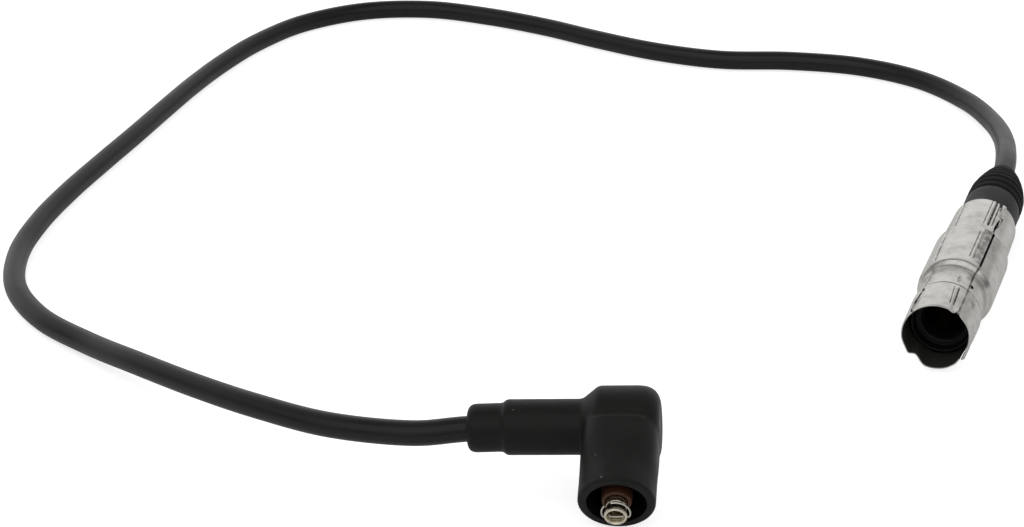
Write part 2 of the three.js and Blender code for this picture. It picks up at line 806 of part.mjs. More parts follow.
function contactSleeve() {
  const outer = sleeveDiameter / 2;
  const tail = sleeveTailDiameter / 2;
  const sleeve = turned([
    [-sleeveProud, sleeveBore / 2],
    [-sleeveProud, sleeveRimDiameter / 2, 0.4],
    [-sleeveProud + sleeveRimLength, sleeveRimDiameter / 2, 0.3],
    [-sleeveProud + sleeveRimLength, outer],
    [sleeveSeatDepth, outer, 0.3],
    [sleeveSeatDepth, tail],
    [sleeveSeatDepth + sleeveTailLength, tail, 0.3],
    [sleeveSeatDepth + sleeveTailLength, 0],
    [sleeveBoreDepth - sleeveProud, 0],
    [sleeveBoreDepth - sleeveProud, sleeveBore / 2],
    [-sleeveProud, sleeveBore / 2],
  ], middleSides, 2);
  return cut(sleeve, clipSlots(elbowClipDiameter, elbowClipSetback - sleeveProud));
}

// Assembly

const part = new THREE.Group();

function addPieces(group, pieces) {
  for (const [name, solid, material] of pieces) {
    const mesh = new THREE.Mesh(toGeometry(solid), material);
    mesh.name = name;
    group.add(mesh);
  }
}

const plugConnector = new THREE.Group();
plugConnector.position.set((layWidth - barrelDiameter) / 2, layLength / 2 - bootEnd, barrelDiameter / 2);
addPieces(plugConnector, [
  ['plug_shield', plugShield(), materials.shield],
  ['plug_seal', plugSeal(), materials.rubber],
  ['plug_insulator', plugInsulator(), materials.blackResin],
  ['plug_contact', plugContact(), materials.brass],
  ['plug_contact_clip', springClip(plugClipDiameter, contactFront + plugClipSetback), materials.spring],
  ...resistorSet('plug', resistorStart, resistorEnd, resistorDiameter, resistorCapLength, {
    cap: materials.nickel,
    core: materials.ceramic,
  }),
  ['plug_spring', spring(plugSpringStart, plugSpringEnd, resistorDiameter - 0.6, plugSpringTurns),
    materials.spring],
  ['plug_cable_screw', cableScrew(resistorDiameter, screwHeadLength).translate([0, plugScrewStart, 0]),
    materials.brass],
  ['plug_boot', plugBoot(), materials.rubber],
]);
part.add(plugConnector);

const elbowConnector = new THREE.Group();
elbowConnector.rotation.set(
  THREE.MathUtils.degToRad(elbowPitch),
  THREE.MathUtils.degToRad(elbowRoll),
  THREE.MathUtils.degToRad(elbowYaw),
  'ZXY',
);
const smallResistorStart = sleeveSeatDepth + sleeveTailLength + seatGap;
const smallResistorEnd = smallResistorStart + smallResistorLength;
const elbowSpringEnd = armStation - elbowScrewBaseDiameter / 2 - seatGap;
addPieces(elbowConnector, [
  ['elbow_boot', elbowBoot(), materials.rubber],
  ['elbow_insulator', elbowInsulator(), materials.brownResin],
  ['contact_sleeve', contactSleeve(), materials.nickel],
  ['contact_clip', springClip(elbowClipDiameter, elbowClipSetback - sleeveProud), materials.spring],
  ...resistorSet('elbow', smallResistorStart, smallResistorEnd, smallResistorDiameter, smallCapLength, {
    cap: materials.nickel,
    core: materials.ceramic,
  }),
  ['elbow_spring',
    spring(smallResistorEnd + seatGap, elbowSpringEnd, smallResistorDiameter - 0.4, elbowSpringTurns),
    materials.spring],
  ['elbow_cable_screw', alongArm(
    cableScrew(elbowScrewBaseDiameter, elbowScrewBaseLength)
      .translate([0, elbowScrewReach - elbowScrewBaseLength - seatGap, 0]),
  ), materials.brass],
]);
const elbowCorner = new THREE.Box3().setFromObject(elbowConnector, true).min;
elbowConnector.position.set(-layWidth / 2 - elbowCorner.x, -layLength / 2 - elbowCorner.y, -elbowCorner.z);
part.add(elbowConnector);

// The cable, from the elbow's screw to the plug connector's screw

function cableCurve() {
  part.updateMatrixWorld(true);
  const fromElbow = [
    [elbowScrewReach, 0],
    [(elbowScrewReach + neckReach) / 2, 0.02],
    [neckReach, 0.1],
    [neckReach + cableRadius, 0.3],
    [neckReach + straightExit, 1],
  ].map(([reach, sag]) => {
    const point = elbowConnector.localToWorld(new THREE.Vector3(-reach, armStation, 0));
    return point.setZ(point.z - sag * exitSag);
  });
  const inBoot = [1, 0.75, 0.5, 0.25, 0].map((share) => THREE.MathUtils.lerp(tailEnd, bootEnd, share));
  const toPlug = [bootEnd + straightExit, ...inBoot, plugCableEnd]
    .map((station) => plugConnector.localToWorld(new THREE.Vector3(-bendAt(station), station, 0)));
  const onFloor = cableRoute.map(([x, y, lift]) => new THREE.Vector3(x, y, cableRadius + lift));
  return new THREE.CatmullRomCurve3([...fromElbow, ...onFloor, ...toPlug], false, 'centripetal');
}

// Hole in a cable's end, for the screw that points from one place towards another
function screwHole(from, to) {
  const radius = screwShankDiameter / 2 + seatGap;
  const hole = new THREE.LatheGeometry(outline([
    [-cutOver, 0],
    [-cutOver, radius],
    [screwShankLength + seatGap, radius],
    [screwShankLength + screwPointLength + seatGap, seatGap],
    [screwShankLength + screwPointLength + seatGap, 0],
  ]), 12);
  const aim = to.clone().sub(from).normalize();
  const turn = new THREE.Quaternion().setFromUnitVectors(new THREE.Vector3(0, 1, 0), aim);
  hole.applyQuaternion(turn);
  hole.translate(from.x, from.y, from.z);
  return toSolid(hole);
}

function cable() {
  const curve = cableCurve();
  const { points } = curve;
  const tube = toSolid(wire(curve, cableSteps, cableRadius, cableSides));
  return cut(tube, screwHole(points[0], points[1]), screwHole(points.at(-1), points.at(-2)));
}

addPieces(part, [['cable', cable(), materials.cable]]);

export default part;
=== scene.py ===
"""Spark plug wire: a plug connector in a sheet metal shield, a rubber elbow and the cable between them."""

import json
import logging
import math
from dataclasses import dataclass, field
from enum import Enum

import bmesh
import bpy
import numpy as np
from mathutils import Matrix, Vector

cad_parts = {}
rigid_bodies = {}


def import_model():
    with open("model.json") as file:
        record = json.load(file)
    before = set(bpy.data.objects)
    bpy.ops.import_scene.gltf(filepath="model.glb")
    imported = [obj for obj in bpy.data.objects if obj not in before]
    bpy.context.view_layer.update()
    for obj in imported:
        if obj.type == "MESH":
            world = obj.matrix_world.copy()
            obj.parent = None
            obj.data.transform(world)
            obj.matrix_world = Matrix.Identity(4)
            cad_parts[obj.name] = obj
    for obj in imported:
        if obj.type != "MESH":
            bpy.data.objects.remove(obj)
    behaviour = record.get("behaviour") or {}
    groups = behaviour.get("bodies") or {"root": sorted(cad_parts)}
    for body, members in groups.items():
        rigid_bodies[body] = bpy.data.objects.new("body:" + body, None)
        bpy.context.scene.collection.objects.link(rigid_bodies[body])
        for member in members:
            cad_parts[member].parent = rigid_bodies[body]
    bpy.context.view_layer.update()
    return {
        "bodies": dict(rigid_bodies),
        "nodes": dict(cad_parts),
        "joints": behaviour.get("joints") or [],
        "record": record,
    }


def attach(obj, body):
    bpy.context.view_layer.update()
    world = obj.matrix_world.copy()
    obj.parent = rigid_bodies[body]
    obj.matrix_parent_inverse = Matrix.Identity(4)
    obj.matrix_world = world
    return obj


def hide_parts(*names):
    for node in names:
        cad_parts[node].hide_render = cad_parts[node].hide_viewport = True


log = logging.getLogger("spark_plug_wire")

MM = 0.001

Socket = bpy.types.NodeSocket
Value = Socket | float
Colour = tuple[float, float, float]
WHITE = (1.0, 1.0, 1.0, 1.0)

# Nodes of the frame, by the connector that holds them
PLUG_HIDDEN = ("plug_insulator", "plug_contact", "plug_contact_clip", "plug_resistor_front_cap",
               "plug_resistor_core", "plug_resistor_rear_cap", "plug_spring", "plug_cable_screw")
ELBOW_HIDDEN = ("elbow_resistor_front_cap", "elbow_resistor_core", "elbow_resistor_rear_cap",
                "elbow_spring", "elbow_cable_screw")


# Meshes


class Rounding(Enum):
    """How finely the corner of a turned outline is rounded."""

    COARSE = 3
    FINE = 6


def rounded(corners: list[tuple], steps: Rounding = Rounding.FINE) -> list[tuple[float, float]]:
    """Rounds the corners of a turned piece's outline.

    Args:
        corners: (station, radius) or (station, radius, rounding) of each corner, in metres.
        steps: how many points each rounded corner gets.

    Returns:
        (station, radius) of every point of the outline.
    """
    points: list[tuple[float, float]] = []
    for index, corner in enumerate(corners):
        here = Vector(corner[:2])
        rounding = corner[2] if len(corner) > 2 else 0.0
        if rounding == 0.0:
            points.append(tuple(here))
            continue
        before = Vector(corners[index - 1][:2])
        after = Vector(corners[(index + 1) % len(corners)][:2])
        start = here + (before - here).normalized() * rounding
        end = here + (after - here).normalized() * rounding
        for k in range(steps.value + 1):
            t = k / steps.value
            points.append(tuple(start * (1 - t) ** 2 + here * 2 * t * (1 - t) + end * t * t))
    return points


def mesh_piece(name: str, vertices: np.ndarray, faces: list, place: Matrix, wrap: np.ndarray | None = None,
               smooth_angle: float = 40.0) -> bpy.types.Object:
    """Makes a mesh object whose points are in the row frame.

    Args:
        name: the piece's name.
        vertices: points in the connector's own frame, in metres.
        faces: point numbers of each face.
        place: from the connector's own frame to the row frame.
        wrap: for each point, how far round and how far along it lies, in metres, for the wrap UV map.
        smooth_angle: edges sharper than this many degrees stay crisp.

    Returns:
        The object, linked to the scene.
    """
    mesh = bpy.data.meshes.new(name)
    mesh.from_pydata([tuple(v) for v in vertices], [], [tuple(f) for f in faces])
    mesh.transform(place)
    if wrap is not None:
        layer = mesh.uv_layers.new(name="wrap")
        corner_points = np.empty(len(mesh.loops), np.int32)
        mesh.loops.foreach_get("vertex_index", corner_points)
        layer.data.foreach_set("uv", (wrap[corner_points] / MM).astype(np.float32).ravel())
    mesh.validate()
    mesh.shade_smooth()
    piece = bpy.data.objects.new(name, mesh)
    bpy.context.scene.collection.objects.link(piece)
    crisp_edges(piece, smooth_angle)
    return piece


def paint(piece: bpy.types.Object, name: str, values: np.ndarray) -> None:
    """Gives each point of a piece a value that its finish reads."""
    layer = piece.data.attributes.new(name, "FLOAT", "POINT")
    layer.data.foreach_set("value", values.astype(np.float32))


def crisp_edges(piece: bpy.types.Object, angle: float) -> None:
    """Marks edges sharper than an angle, in degrees, as crisp.

    Args:
        piece: the object.
        angle: the limit, in degrees.
    """
    form = bmesh.new()
    form.from_mesh(piece.data)
    for edge in form.edges:
        edge.smooth = len(edge.link_faces) == 2 and edge.calc_face_angle(0.0) < math.radians(angle)
    form.to_mesh(piece.data)
    form.free()


def turned(name: str, outline: list[tuple[float, float]], sides: int, place: Matrix,
           smooth_angle: float = 40.0) -> bpy.types.Object:
    """Makes a piece turned about its own Y axis.

    Args:
        name: the piece's name.
        outline: (station, radius) of each point; it is closed where it doesn't start and end on the axis.
        sides: number of sides round the axis.
        place: from the connector's own frame to the row frame.
        smooth_angle: edges sharper than this many degrees stay crisp.

    Returns:
        The object.
    """
    closed = outline[0][1] > 1e-6 or outline[-1][1] > 1e-6
    rows = len(outline)
    vertices, wrap, faces = [], [], []
    for row, (station, radius) in enumerate(outline):
        for k in range(sides):
            angle = 2 * math.pi * k / sides
            vertices.append((radius * math.cos(angle), station, radius * math.sin(angle)))
            wrap.append((radius * angle, station))
    for row in range(rows if closed else rows - 1):
        low, high = row * sides, ((row + 1) % rows) * sides
        for k in range(sides):
            nxt = (k + 1) % sides
            faces.append((low + k, high + k, high + nxt, low + nxt))
    piece = mesh_piece(name, np.array(vertices), faces, place, np.array(wrap), smooth_angle)
    form = bmesh.new()
    form.from_mesh(piece.data)
    bmesh.ops.remove_doubles(form, verts=form.verts, dist=0.002 * MM)
    bmesh.ops.dissolve_degenerate(form, edges=form.edges, dist=0.001 * MM)
    bmesh.ops.recalc_face_normals(form, faces=form.faces)
    form.to_mesh(piece.data)
    form.free()
    return piece


def round_wire(name: str, line: list[Vector], radius: float, sides: int, place: Matrix) -> bpy.types.Object:
    """Makes a round bar that follows a line of points, with flat closed ends.

    Args:
        name: the piece's name.
        line: points of the centreline, in the connector's own frame, in metres.
        radius: the bar's radius, in metres.
        sides: number of sides round the bar.
        place: from the connector's own frame to the row frame.

    Returns:
        The object.
    """
    points = np.array([tuple(p) for p in line])
    tangents = np.gradient(points, axis=0)
    tangents /= np.linalg.norm(tangents, axis=1)[:, None]
    side = np.cross(tangents[0], (0.0, 0.0, 1.0))
    if np.linalg.norm(side) < 0.1:
        side = np.cross(tangents[0], (0.0, 1.0, 0.0))
    vertices, wrap, faces = [], [], []
    along = 0.0
    for row, (point, tangent) in enumerate(zip(points, tangents)):
        side = side - tangent * side.dot(tangent)
        side /= np.linalg.norm(side)
        over = np.cross(side, tangent)
        along += np.linalg.norm(point - points[max(row - 1, 0)])
        for k in range(sides):
            angle = 2 * math.pi * k / sides
            vertices.append(point + radius * (math.cos(angle) * side + math.sin(angle) * over))
            wrap.append((radius * angle, along))
    for row in range(len(points) - 1):
        low, high = row * sides, (row + 1) * sides
        for k in range(sides):
            nxt = (k + 1) % sides
            faces.append((low + k, low + nxt, high + nxt, high + k))
    last = (len(points) - 1) * sides
    faces.append(tuple(reversed(range(sides))))
    faces.append(tuple(range(last, last + sides)))
    return mesh_piece(name, np.array(vertices), faces, place, np.array(wrap), 60.0)


def applied(piece: bpy.types.Object) -> bpy.types.Object:
    """Applies a piece's modifiers to its mesh and returns the piece.

    Args:
        piece: the object.

    Returns:
        The same object.
    """
    graph = bpy.context.evaluated_depsgraph_get()
    mesh = bpy.data.meshes.new_from_object(piece.evaluated_get(graph))
    piece.modifiers.clear()
    piece.data = mesh
    return piece


class Joining(Enum):
    """What a tool body does to a piece."""

    JOINED = "UNION"
    CUT_AWAY = "DIFFERENCE"


def combined(piece: bpy.types.Object, tool: bpy.types.Object, joining: Joining) -> bpy.types.Object:
    """Joins a tool body to a piece or cuts it away.

    Args:
        piece: the piece that changes.
        tool: the body that is joined or cut away; it is deleted afterwards.
        joining: whether the tool is joined or cut away.

    Returns:
        The piece.
    """
    step = piece.modifiers.new("combine", "BOOLEAN")
    step.operation = joining.value
    step.object = tool
    step.solver = "EXACT"
    applied(piece)
    bpy.data.objects.remove(tool)
    return piece


# Shader node groups


class NodeGroup:
    """A shader node group with named inputs and outputs, built once and placed in many materials."""

    def __init__(self, name: str, inputs: dict[str, float], outputs: dict[str, str]) -> None:
        """Starts an empty group.

        Args:
            name: the group's name.
            inputs: each input's name and value; Vector is added as the first input.
            outputs: each output's name and socket type.
        """
        self.tree = bpy.data.node_groups.new(name, "ShaderNodeTree")
        face = self.tree.interface
        face.new_socket("Vector", in_out="INPUT", socket_type="NodeSocketVector")
        for label, value in inputs.items():
            face.new_socket(label, in_out="INPUT", socket_type="NodeSocketFloat").default_value = value
        for label, kind in outputs.items():
            face.new_socket(label, in_out="OUTPUT", socket_type=kind)
        self.start = self.tree.nodes.new("NodeGroupInput")
        self.end = self.tree.nodes.new("NodeGroupOutput")

    def node(self, kind: str, **values: object) -> bpy.types.Node:
        """Adds a node of a kind and sets its properties."""
        return add_node(self.tree, kind, **values)

    def given(self, name: str) -> Socket:
        """Returns the socket inside the group that carries one of its inputs."""
        return self.start.outputs[name]

    def link(self, source: Socket, target: Socket) -> None:
        """Links one socket to another."""
        self.tree.links.new(source, target)

    def math(self, operation: str, a: Value, b: Value = 0.0, clamp: bool = False) -> Socket:
        """Adds a math node on two sockets or numbers and returns its output."""
        return add_math(self.tree, operation, a, b, clamp)


def add_node(tree: bpy.types.NodeTree, kind: str, **values: object) -> bpy.types.Node:
    """Adds a node to a tree.

    Args:
        tree: the node tree.
        kind: the node's type.
        **values: properties of the node; a name that is also an input's sets that input.

    Returns:
        The node.
    """
    node = tree.nodes.new(kind)
    for name, value in values.items():
        label = name.replace("_", " ").title()
        if hasattr(node, name):
            setattr(node, name, value)
        else:
            node.inputs[label].default_value = value
    return node


def add_math(tree: bpy.types.NodeTree, operation: str, a: Value, b: Value = 0.0,
             clamp: bool = False) -> Socket:
    """Adds a math node.

    Args:
        tree: the node tree.
        operation: the node's operation.
        a: first number or socket.
        b: second number or socket.
        clamp: keeps the result between 0 and 1.

    Returns:
        The node's output socket.
    """
    node = tree.nodes.new("ShaderNodeMath")
    node.operation = operation
    node.use_clamp = clamp
    for socket, value in zip(node.inputs, (a, b)):
        if isinstance(value, (int, float)):
            socket.default_value = value
        else:
            tree.links.new(value, socket)
    return node.outputs[0]


def ramp(tree: bpy.types.NodeTree, value: Socket, low: float, high: float) -> Socket:
    """Adds a smooth step of a value from 0 at low to 1 at high and returns its output.

    Args:
        tree: the node tree.
        value: the socket that is read.
        low: the value that gives 0.
        high: the value that gives 1; below low, the step falls.

    Returns:
        The node's output socket.
    """
    node = tree.nodes.new("ShaderNodeMapRange")
    node.interpolation_type = "SMOOTHSTEP"
    tree.links.new(value, node.inputs["Value"])
    node.inputs["From Min"].default_value = min(low, high)
    node.inputs["From Max"].default_value = max(low, high)
    if low > high:
        node.inputs["To Min"].default_value = 1.0
        node.inputs["To Max"].default_value = 0.0
    return node.outputs[0]


class Effects:
    """The effects that several finishes share."""

    def __init__(self) -> None:
        """Builds every group once."""
        self.grain = self._grain()
        self.dust = self._dust()
        self.scratches = self._scratches()
        self.clouds = self._clouds()

    def _grain(self) -> NodeGroup:
        """Fine pitted surface of a moulded or drawn piece, as a height.

        Returns:
            The group.
        """
        group = NodeGroup("fine_grain", {"Scale": 2500.0, "Waves": 0.4}, {"Height": "NodeSocketFloat"})
        fine = group.node("ShaderNodeTexNoise", detail=4.0, roughness=0.6)
        broad = group.node("ShaderNodeTexNoise", detail=2.0)
        group.link(group.given("Vector"), fine.inputs["Vector"])
        group.link(group.given("Vector"), broad.inputs["Vector"])
        group.link(group.given("Scale"), fine.inputs["Scale"])
        group.link(group.math("MULTIPLY", group.given("Scale"), 0.08), broad.inputs["Scale"])
        waves = group.math("MULTIPLY", broad.outputs["Fac"], group.given("Waves"))
        group.link(group.math("ADD", fine.outputs["Fac"], waves), group.end.inputs["Height"])
        return group

    def _dust(self) -> NodeGroup:
        """Pale specks of dust and lint, as a mask.

        Returns:
            The group.
        """
        group = NodeGroup("dust_specks", {"Scale": 260.0, "Size": 0.12, "Share": 0.35},
                          {"Mask": "NodeSocketFloat"})
        wobble = group.node("ShaderNodeTexNoise", detail=2.0, scale=1500.0)
        shift = group.node("ShaderNodeVectorMath", operation="MULTIPLY_ADD")
        shift.inputs[1].default_value = (0.0012, 0.0012, 0.0012)
        cells = group.node("ShaderNodeTexVoronoi", feature="F1")
        group.link(group.given("Vector"), wobble.inputs["Vector"])
        group.link(wobble.outputs["Color"], shift.inputs[0])
        group.link(group.given("Vector"), shift.inputs[2])
        group.link(shift.outputs[0], cells.inputs["Vector"])
        group.link(group.given("Scale"), cells.inputs["Scale"])
        pick = group.node("ShaderNodeSeparateColor")
        group.link(cells.outputs["Color"], pick.inputs[0])
        size = group.math("MULTIPLY", group.given("Size"), pick.outputs[1])
        inside = group.math("LESS_THAN", cells.outputs["Distance"], size)
        chosen = group.math("LESS_THAN", pick.outputs[0], group.given("Share"))
        strength = group.math("MULTIPLY", pick.outputs[2], chosen)
        group.link(group.math("MULTIPLY", inside, strength), group.end.inputs["Mask"])
        return group

    def _scratches(self) -> NodeGroup:
        """Thin handling scratches that run mostly one way, as a mask.

        Returns:
            The group.
        """
        group = NodeGroup("handling_scratches", {"Scale": 1.0, "Width": 0.03}, {"Mask": "NodeSocketFloat"})
        masks = []
        for angle, stretch in ((0.35, 0.06), (-0.9, 0.09), (1.45, 0.05)):
            turn = group.node("ShaderNodeMapping")
            turn.inputs["Rotation"].default_value = (0.0, 0.0, angle)
            turn.inputs["Scale"].default_value = (1.0, stretch, 1.0)
            lines = group.node("ShaderNodeTexNoise", detail=1.0, distortion=0.3)
            group.link(group.given("Vector"), turn.inputs["Vector"])
            group.link(turn.outputs[0], lines.inputs["Vector"])
            group.link(group.given("Scale"), lines.inputs["Scale"])
            off = group.math("ABSOLUTE", group.math("SUBTRACT", lines.outputs["Fac"], 0.5))
            width = group.math("MULTIPLY", group.given("Width"), 0.1)
            masks.append(group.math("LESS_THAN", off, width))
        both = group.math("MAXIMUM", masks[0], masks[1])
        fade = group.node("ShaderNodeTexNoise", detail=1.0)
        group.link(group.given("Vector"), fade.inputs["Vector"])
        group.link(group.math("MULTIPLY", group.given("Scale"), 0.4), fade.inputs["Scale"])
        kept = group.math("MULTIPLY", group.math("SUBTRACT", fade.outputs["Fac"], 0.45), 5.0, clamp=True)
        marks = group.math("MULTIPLY", group.math("MAXIMUM", both, masks[2]), kept)
        group.link(marks, group.end.inputs["Mask"])
        return group

    def _clouds(self) -> NodeGroup:
        """Soft clouding of a surface, as a value from 0 to 1.

        Returns:
            The group.
        """
        group = NodeGroup("soft_clouds", {"Scale": 90.0, "Contrast": 2.0}, {"Value": "NodeSocketFloat"})
        noise = group.node("ShaderNodeTexNoise", detail=5.0, roughness=0.55)
        group.link(group.given("Vector"), noise.inputs["Vector"])
        group.link(group.given("Scale"), noise.inputs["Scale"])
        centred = group.math("SUBTRACT", noise.outputs["Fac"], 0.5)
        spread = group.math("MULTIPLY", centred, group.given("Contrast"))
        group.link(group.math("ADD", spread, 0.5, clamp=True), group.end.inputs["Value"])
        return group


# Finishes


class Material:
    """A material in the making: its tree, its shader and the coordinates its effects use."""

    def __init__(self, name: str) -> None:
        """Starts a material with a Principled BSDF.

        Args:
            name: the material's name.
        """
        self.material = bpy.data.materials.new(name)
        self.material.use_nodes = True
        self.tree = self.material.node_tree
        self.shader = self.tree.nodes["Principled BSDF"]
        self.space = add_node(self.tree, "ShaderNodeTexCoord").outputs["Object"]

    def wrap(self) -> Socket:
        """Returns the coordinates round and along a turned piece, in millimetres."""
        return add_node(self.tree, "ShaderNodeUVMap", uv_map="wrap").outputs[0]

    def painted(self, name: str) -> Socket:
        """Returns a value that the mesh carries at its points, which is 0 where it has none."""
        return add_node(self.tree, "ShaderNodeAttribute", attribute_name=name).outputs["Fac"]

    def place(self, group: NodeGroup, vector: Socket | None = None, **values: float) -> bpy.types.Node:
        """Places an effect with its own values.

        Args:
            group: the effect.
            vector: the coordinates it uses, or None for the object's own.
            **values: the effect's inputs.

        Returns:
            The group node.
        """
        node = self.tree.nodes.new("ShaderNodeGroup")
        node.node_tree = group.tree
        for name, value in values.items():
            node.inputs[name.replace("_", " ").title()].default_value = value
        self.tree.links.new(vector or self.space, node.inputs["Vector"])
        return node

    def mixed(self, factor: Socket, a: Socket | Colour, b: Socket | Colour) -> Socket:
        """Mixes two colours by a factor and returns the colour.

        Args:
            factor: the share of the second colour.
            a: the first colour, or its socket.
            b: the second colour, or its socket.

        Returns:
            The colour's socket.
        """
        node = add_node(self.tree, "ShaderNodeMix", data_type="RGBA")
        self.tree.links.new(factor, node.inputs["Factor"])
        for socket, value in ((node.inputs[6], a), (node.inputs[7], b)):
            if isinstance(value, tuple):
                socket.default_value = (*value, 1.0)
            else:
                self.tree.links.new(value, socket)
        return node.outputs[2]

    def times(self, a: Value, b: Value) -> Socket:
        """Multiplies two sockets or numbers and returns the socket."""
        return add_math(self.tree, "MULTIPLY", a, b)

    def plus(self, a: Value, b: Value, clamp: bool = False) -> Socket:
        """Adds two sockets or numbers and returns the socket."""
        return add_math(self.tree, "ADD", a, b, clamp)

    def ranged(self, value: Socket, low: float, high: float) -> Socket:
        """Maps a value from 0..1 to a range and returns the socket."""
        return self.plus(self.times(value, high - low), low)

    def bump(self, height: Socket, distance: float, over: Socket | None = None) -> Socket:
        """Adds a bump on a height and returns its normal.

        Args:
            height: the height's socket.
            distance: how high 1 stands, in metres.
            over: the normal it is added to, if any.

        Returns:
            The normal's socket.
        """
        node = add_node(self.tree, "ShaderNodeBump", strength=1.0, distance=distance)
        self.tree.links.new(height, node.inputs["Height"])
        if over is not None:
            self.tree.links.new(over, node.inputs["Normal"])
        return node.outputs[0]

    def set(self, **sockets: Value | Colour) -> None:
        """Sets or links the shader's sockets by name.

        Args:
            **sockets: each socket's value, colour or source.
        """
        for name, value in sockets.items():
            socket = self.shader.inputs[name.replace("_", " ").title().replace("Ior", "IOR")]
            if isinstance(value, tuple):
                socket.default_value = (*value, 1.0)
            elif isinstance(value, (int, float)):
                socket.default_value = value
            else:
                self.tree.links.new(value, socket)


@dataclass(frozen=True)
class RubberFinish:
    """Black moulded rubber with a fine skin, duller on its rings, a few specks of dust, and a painted highlight
    line along the elbow's crease.
    """

    name: str
    dark: Colour = (0.004, 0.004, 0.0035)
    pale: Colour = (0.0085, 0.0085, 0.0078)
    dust: Colour = (0.17, 0.168, 0.155)
    low_roughness: float = 0.42
    high_roughness: float = 0.58
    dust_share: float = 0.55
    grain_depth: float = 0.02 * MM
    specular: float = 0.21
    # How far the painted highlight along the elbow's crease is mixed towards the dust colour
    crease_share: float = 0.1
    ribbed_roughness: float = 0.28

    def build(self, effects: Effects) -> bpy.types.Material:
        """Makes the material from the shared effects and returns it.

        Args:
            effects: the shared effects.

        Returns:
            The material.
        """
        m = Material(self.name)
        clouds = m.place(effects.clouds, scale=110.0, contrast=2.2).outputs[0]
        specks = m.place(effects.dust, share=self.dust_share, size=0.1).outputs[0]
        # Painted highlight: a pale line along the elbow's crease, mixed towards the dust colour
        pale = m.times(m.painted("crease_highlight"), self.crease_share)
        body = m.mixed(pale, m.mixed(clouds, self.dark, self.pale), self.dust)
        grain = m.place(effects.grain, scale=2600.0, waves=2.0).outputs[0]
        ribbed = m.times(m.painted("ribbed"), self.ribbed_roughness)
        m.set(
            base_color=m.mixed(specks, body, self.dust),
            roughness=m.plus(m.ranged(clouds, self.low_roughness, self.high_roughness), ribbed),
            specular_ior_level=self.specular,
            normal=m.bump(grain, self.grain_depth),
        )
        return m.material


@dataclass(frozen=True)
class SheathFinish:
    """Smooth extruded cable sheath, satin, with fine lines along it."""

    name: str = "cable_sheath"
    dark: Colour = (0.0045, 0.0044, 0.0042)
    pale: Colour = (0.009, 0.0088, 0.0084)
    scuff: Colour = (0.04, 0.039, 0.037)
    low_roughness: float = 0.30
    high_roughness: float = 0.42
    specular: float = 0.29
    mark_share: float = 0.35
    speck_share: float = 0.6

    def build(self, effects: Effects) -> bpy.types.Material:
        """Makes the material from the shared effects and returns it.

        Args:
            effects: the shared effects.

        Returns:
            The material.
        """
        m = Material(self.name)
        stretched = add_node(m.tree, "ShaderNodeMapping")
        stretched.inputs["Scale"].default_value = (1.0, 0.03, 1.0)
        m.tree.links.new(m.wrap(), stretched.inputs["Vector"])
        lines = add_node(m.tree, "ShaderNodeTexNoise", scale=2.2, detail=3.0)
        m.tree.links.new(stretched.outputs[0], lines.inputs["Vector"])
        clouds = m.place(effects.clouds, scale=60.0, contrast=2.5).outputs[0]
        marks = m.place(effects.scratches, vector=stretched.outputs[0], scale=0.35, width=0.05).outputs[0]
        specks = m.place(effects.dust, share=0.1, size=0.08).outputs[0]
        body = m.mixed(clouds, self.dark, self.pale)
        worn = m.mixed(m.times(marks, self.mark_share), body, self.scuff)
        fine = m.bump(m.place(effects.grain, scale=3000.0, waves=0.5).outputs[0], 0.008 * MM)
        m.set(
            base_color=m.mixed(m.times(specks, self.speck_share), worn, self.scuff),
            roughness=m.ranged(clouds, self.low_roughness, self.high_roughness),
            specular_ior_level=self.specular,
            normal=m.bump(lines.outputs[0], 0.05 * MM, over=fine),
        )
        return m.material


@dataclass(frozen=True)
class PlatedFinish:
    """Bright plated metal, lightly clouded, stained and scratched, with painted shade in its grooves, on its
    seam and strip, darker patches, and its inside painted dark as shade.
    """

    name: str
    bright: Colour = (0.68, 0.665, 0.635)
    dull: Colour = (0.58, 0.565, 0.53)
    # The colour of the painted shade in grooves and of faint stains
    stain_and_shade: Colour = (0.1, 0.088, 0.072)
    # Painted shade: the dark colour of the sheet's inner face and of the rim round the vent hole
    inside: Colour = (0.032, 0.031, 0.026)
    low_roughness: float = 0.2
    high_roughness: float = 0.32
    scratch_scale: float = 0.8
    stain_share: float = 0.25
    mark_roughness: float = 0.15
    painted_shade_roughness: float = 0.3

    def build(self, effects: Effects) -> bpy.types.Material:
        """Makes the material from the shared effects and returns it.

        Args:
            effects: the shared effects.

        Returns:
            The material.
        """
        m = Material(self.name)
        clouds = m.place(effects.clouds, scale=150.0, contrast=2.0).outputs[0]
        blots = m.place(effects.clouds, scale=420.0, contrast=6.0).outputs[0]
        marks = m.place(effects.scratches, vector=m.wrap(), scale=self.scratch_scale, width=0.03).outputs[0]
        body = m.mixed(clouds, self.bright, self.dull)
        uneven = m.plus(m.times(blots, 0.5), 0.6)
        # Painted shade in the grooves, on the seam and strip, and darker patches, from the painted map
        shade_and_patches = m.times(m.painted("shade_and_patches"), uneven)
        faint = m.times(m.times(blots, clouds), self.stain_share)
        stained_and_shaded = m.mixed(m.plus(shade_and_patches, faint, clamp=True), body, self.stain_and_shade)
        # Painted shade: the inner face and the rim round the vent hole turn dark, rougher and not metallic
        painted_shade = add_math(m.tree, "GREATER_THAN", m.painted("painted_shade"), 0.7)
        rough = m.ranged(clouds, self.low_roughness, self.high_roughness)
        worn = m.plus(rough, m.times(marks, self.mark_roughness))
        m.set(
            base_color=m.mixed(painted_shade, stained_and_shaded, self.inside),
            metallic=add_math(m.tree, "SUBTRACT", 1.0, painted_shade),
            roughness=m.plus(worn, m.times(painted_shade, self.painted_shade_roughness)),
            normal=m.bump(
                m.times(marks, -1.0), 0.008 * MM,
                over=m.bump(m.place(effects.grain, scale=700.0, waves=1.0).outputs[0], 0.006 * MM),
            ),
        )
        return m.material


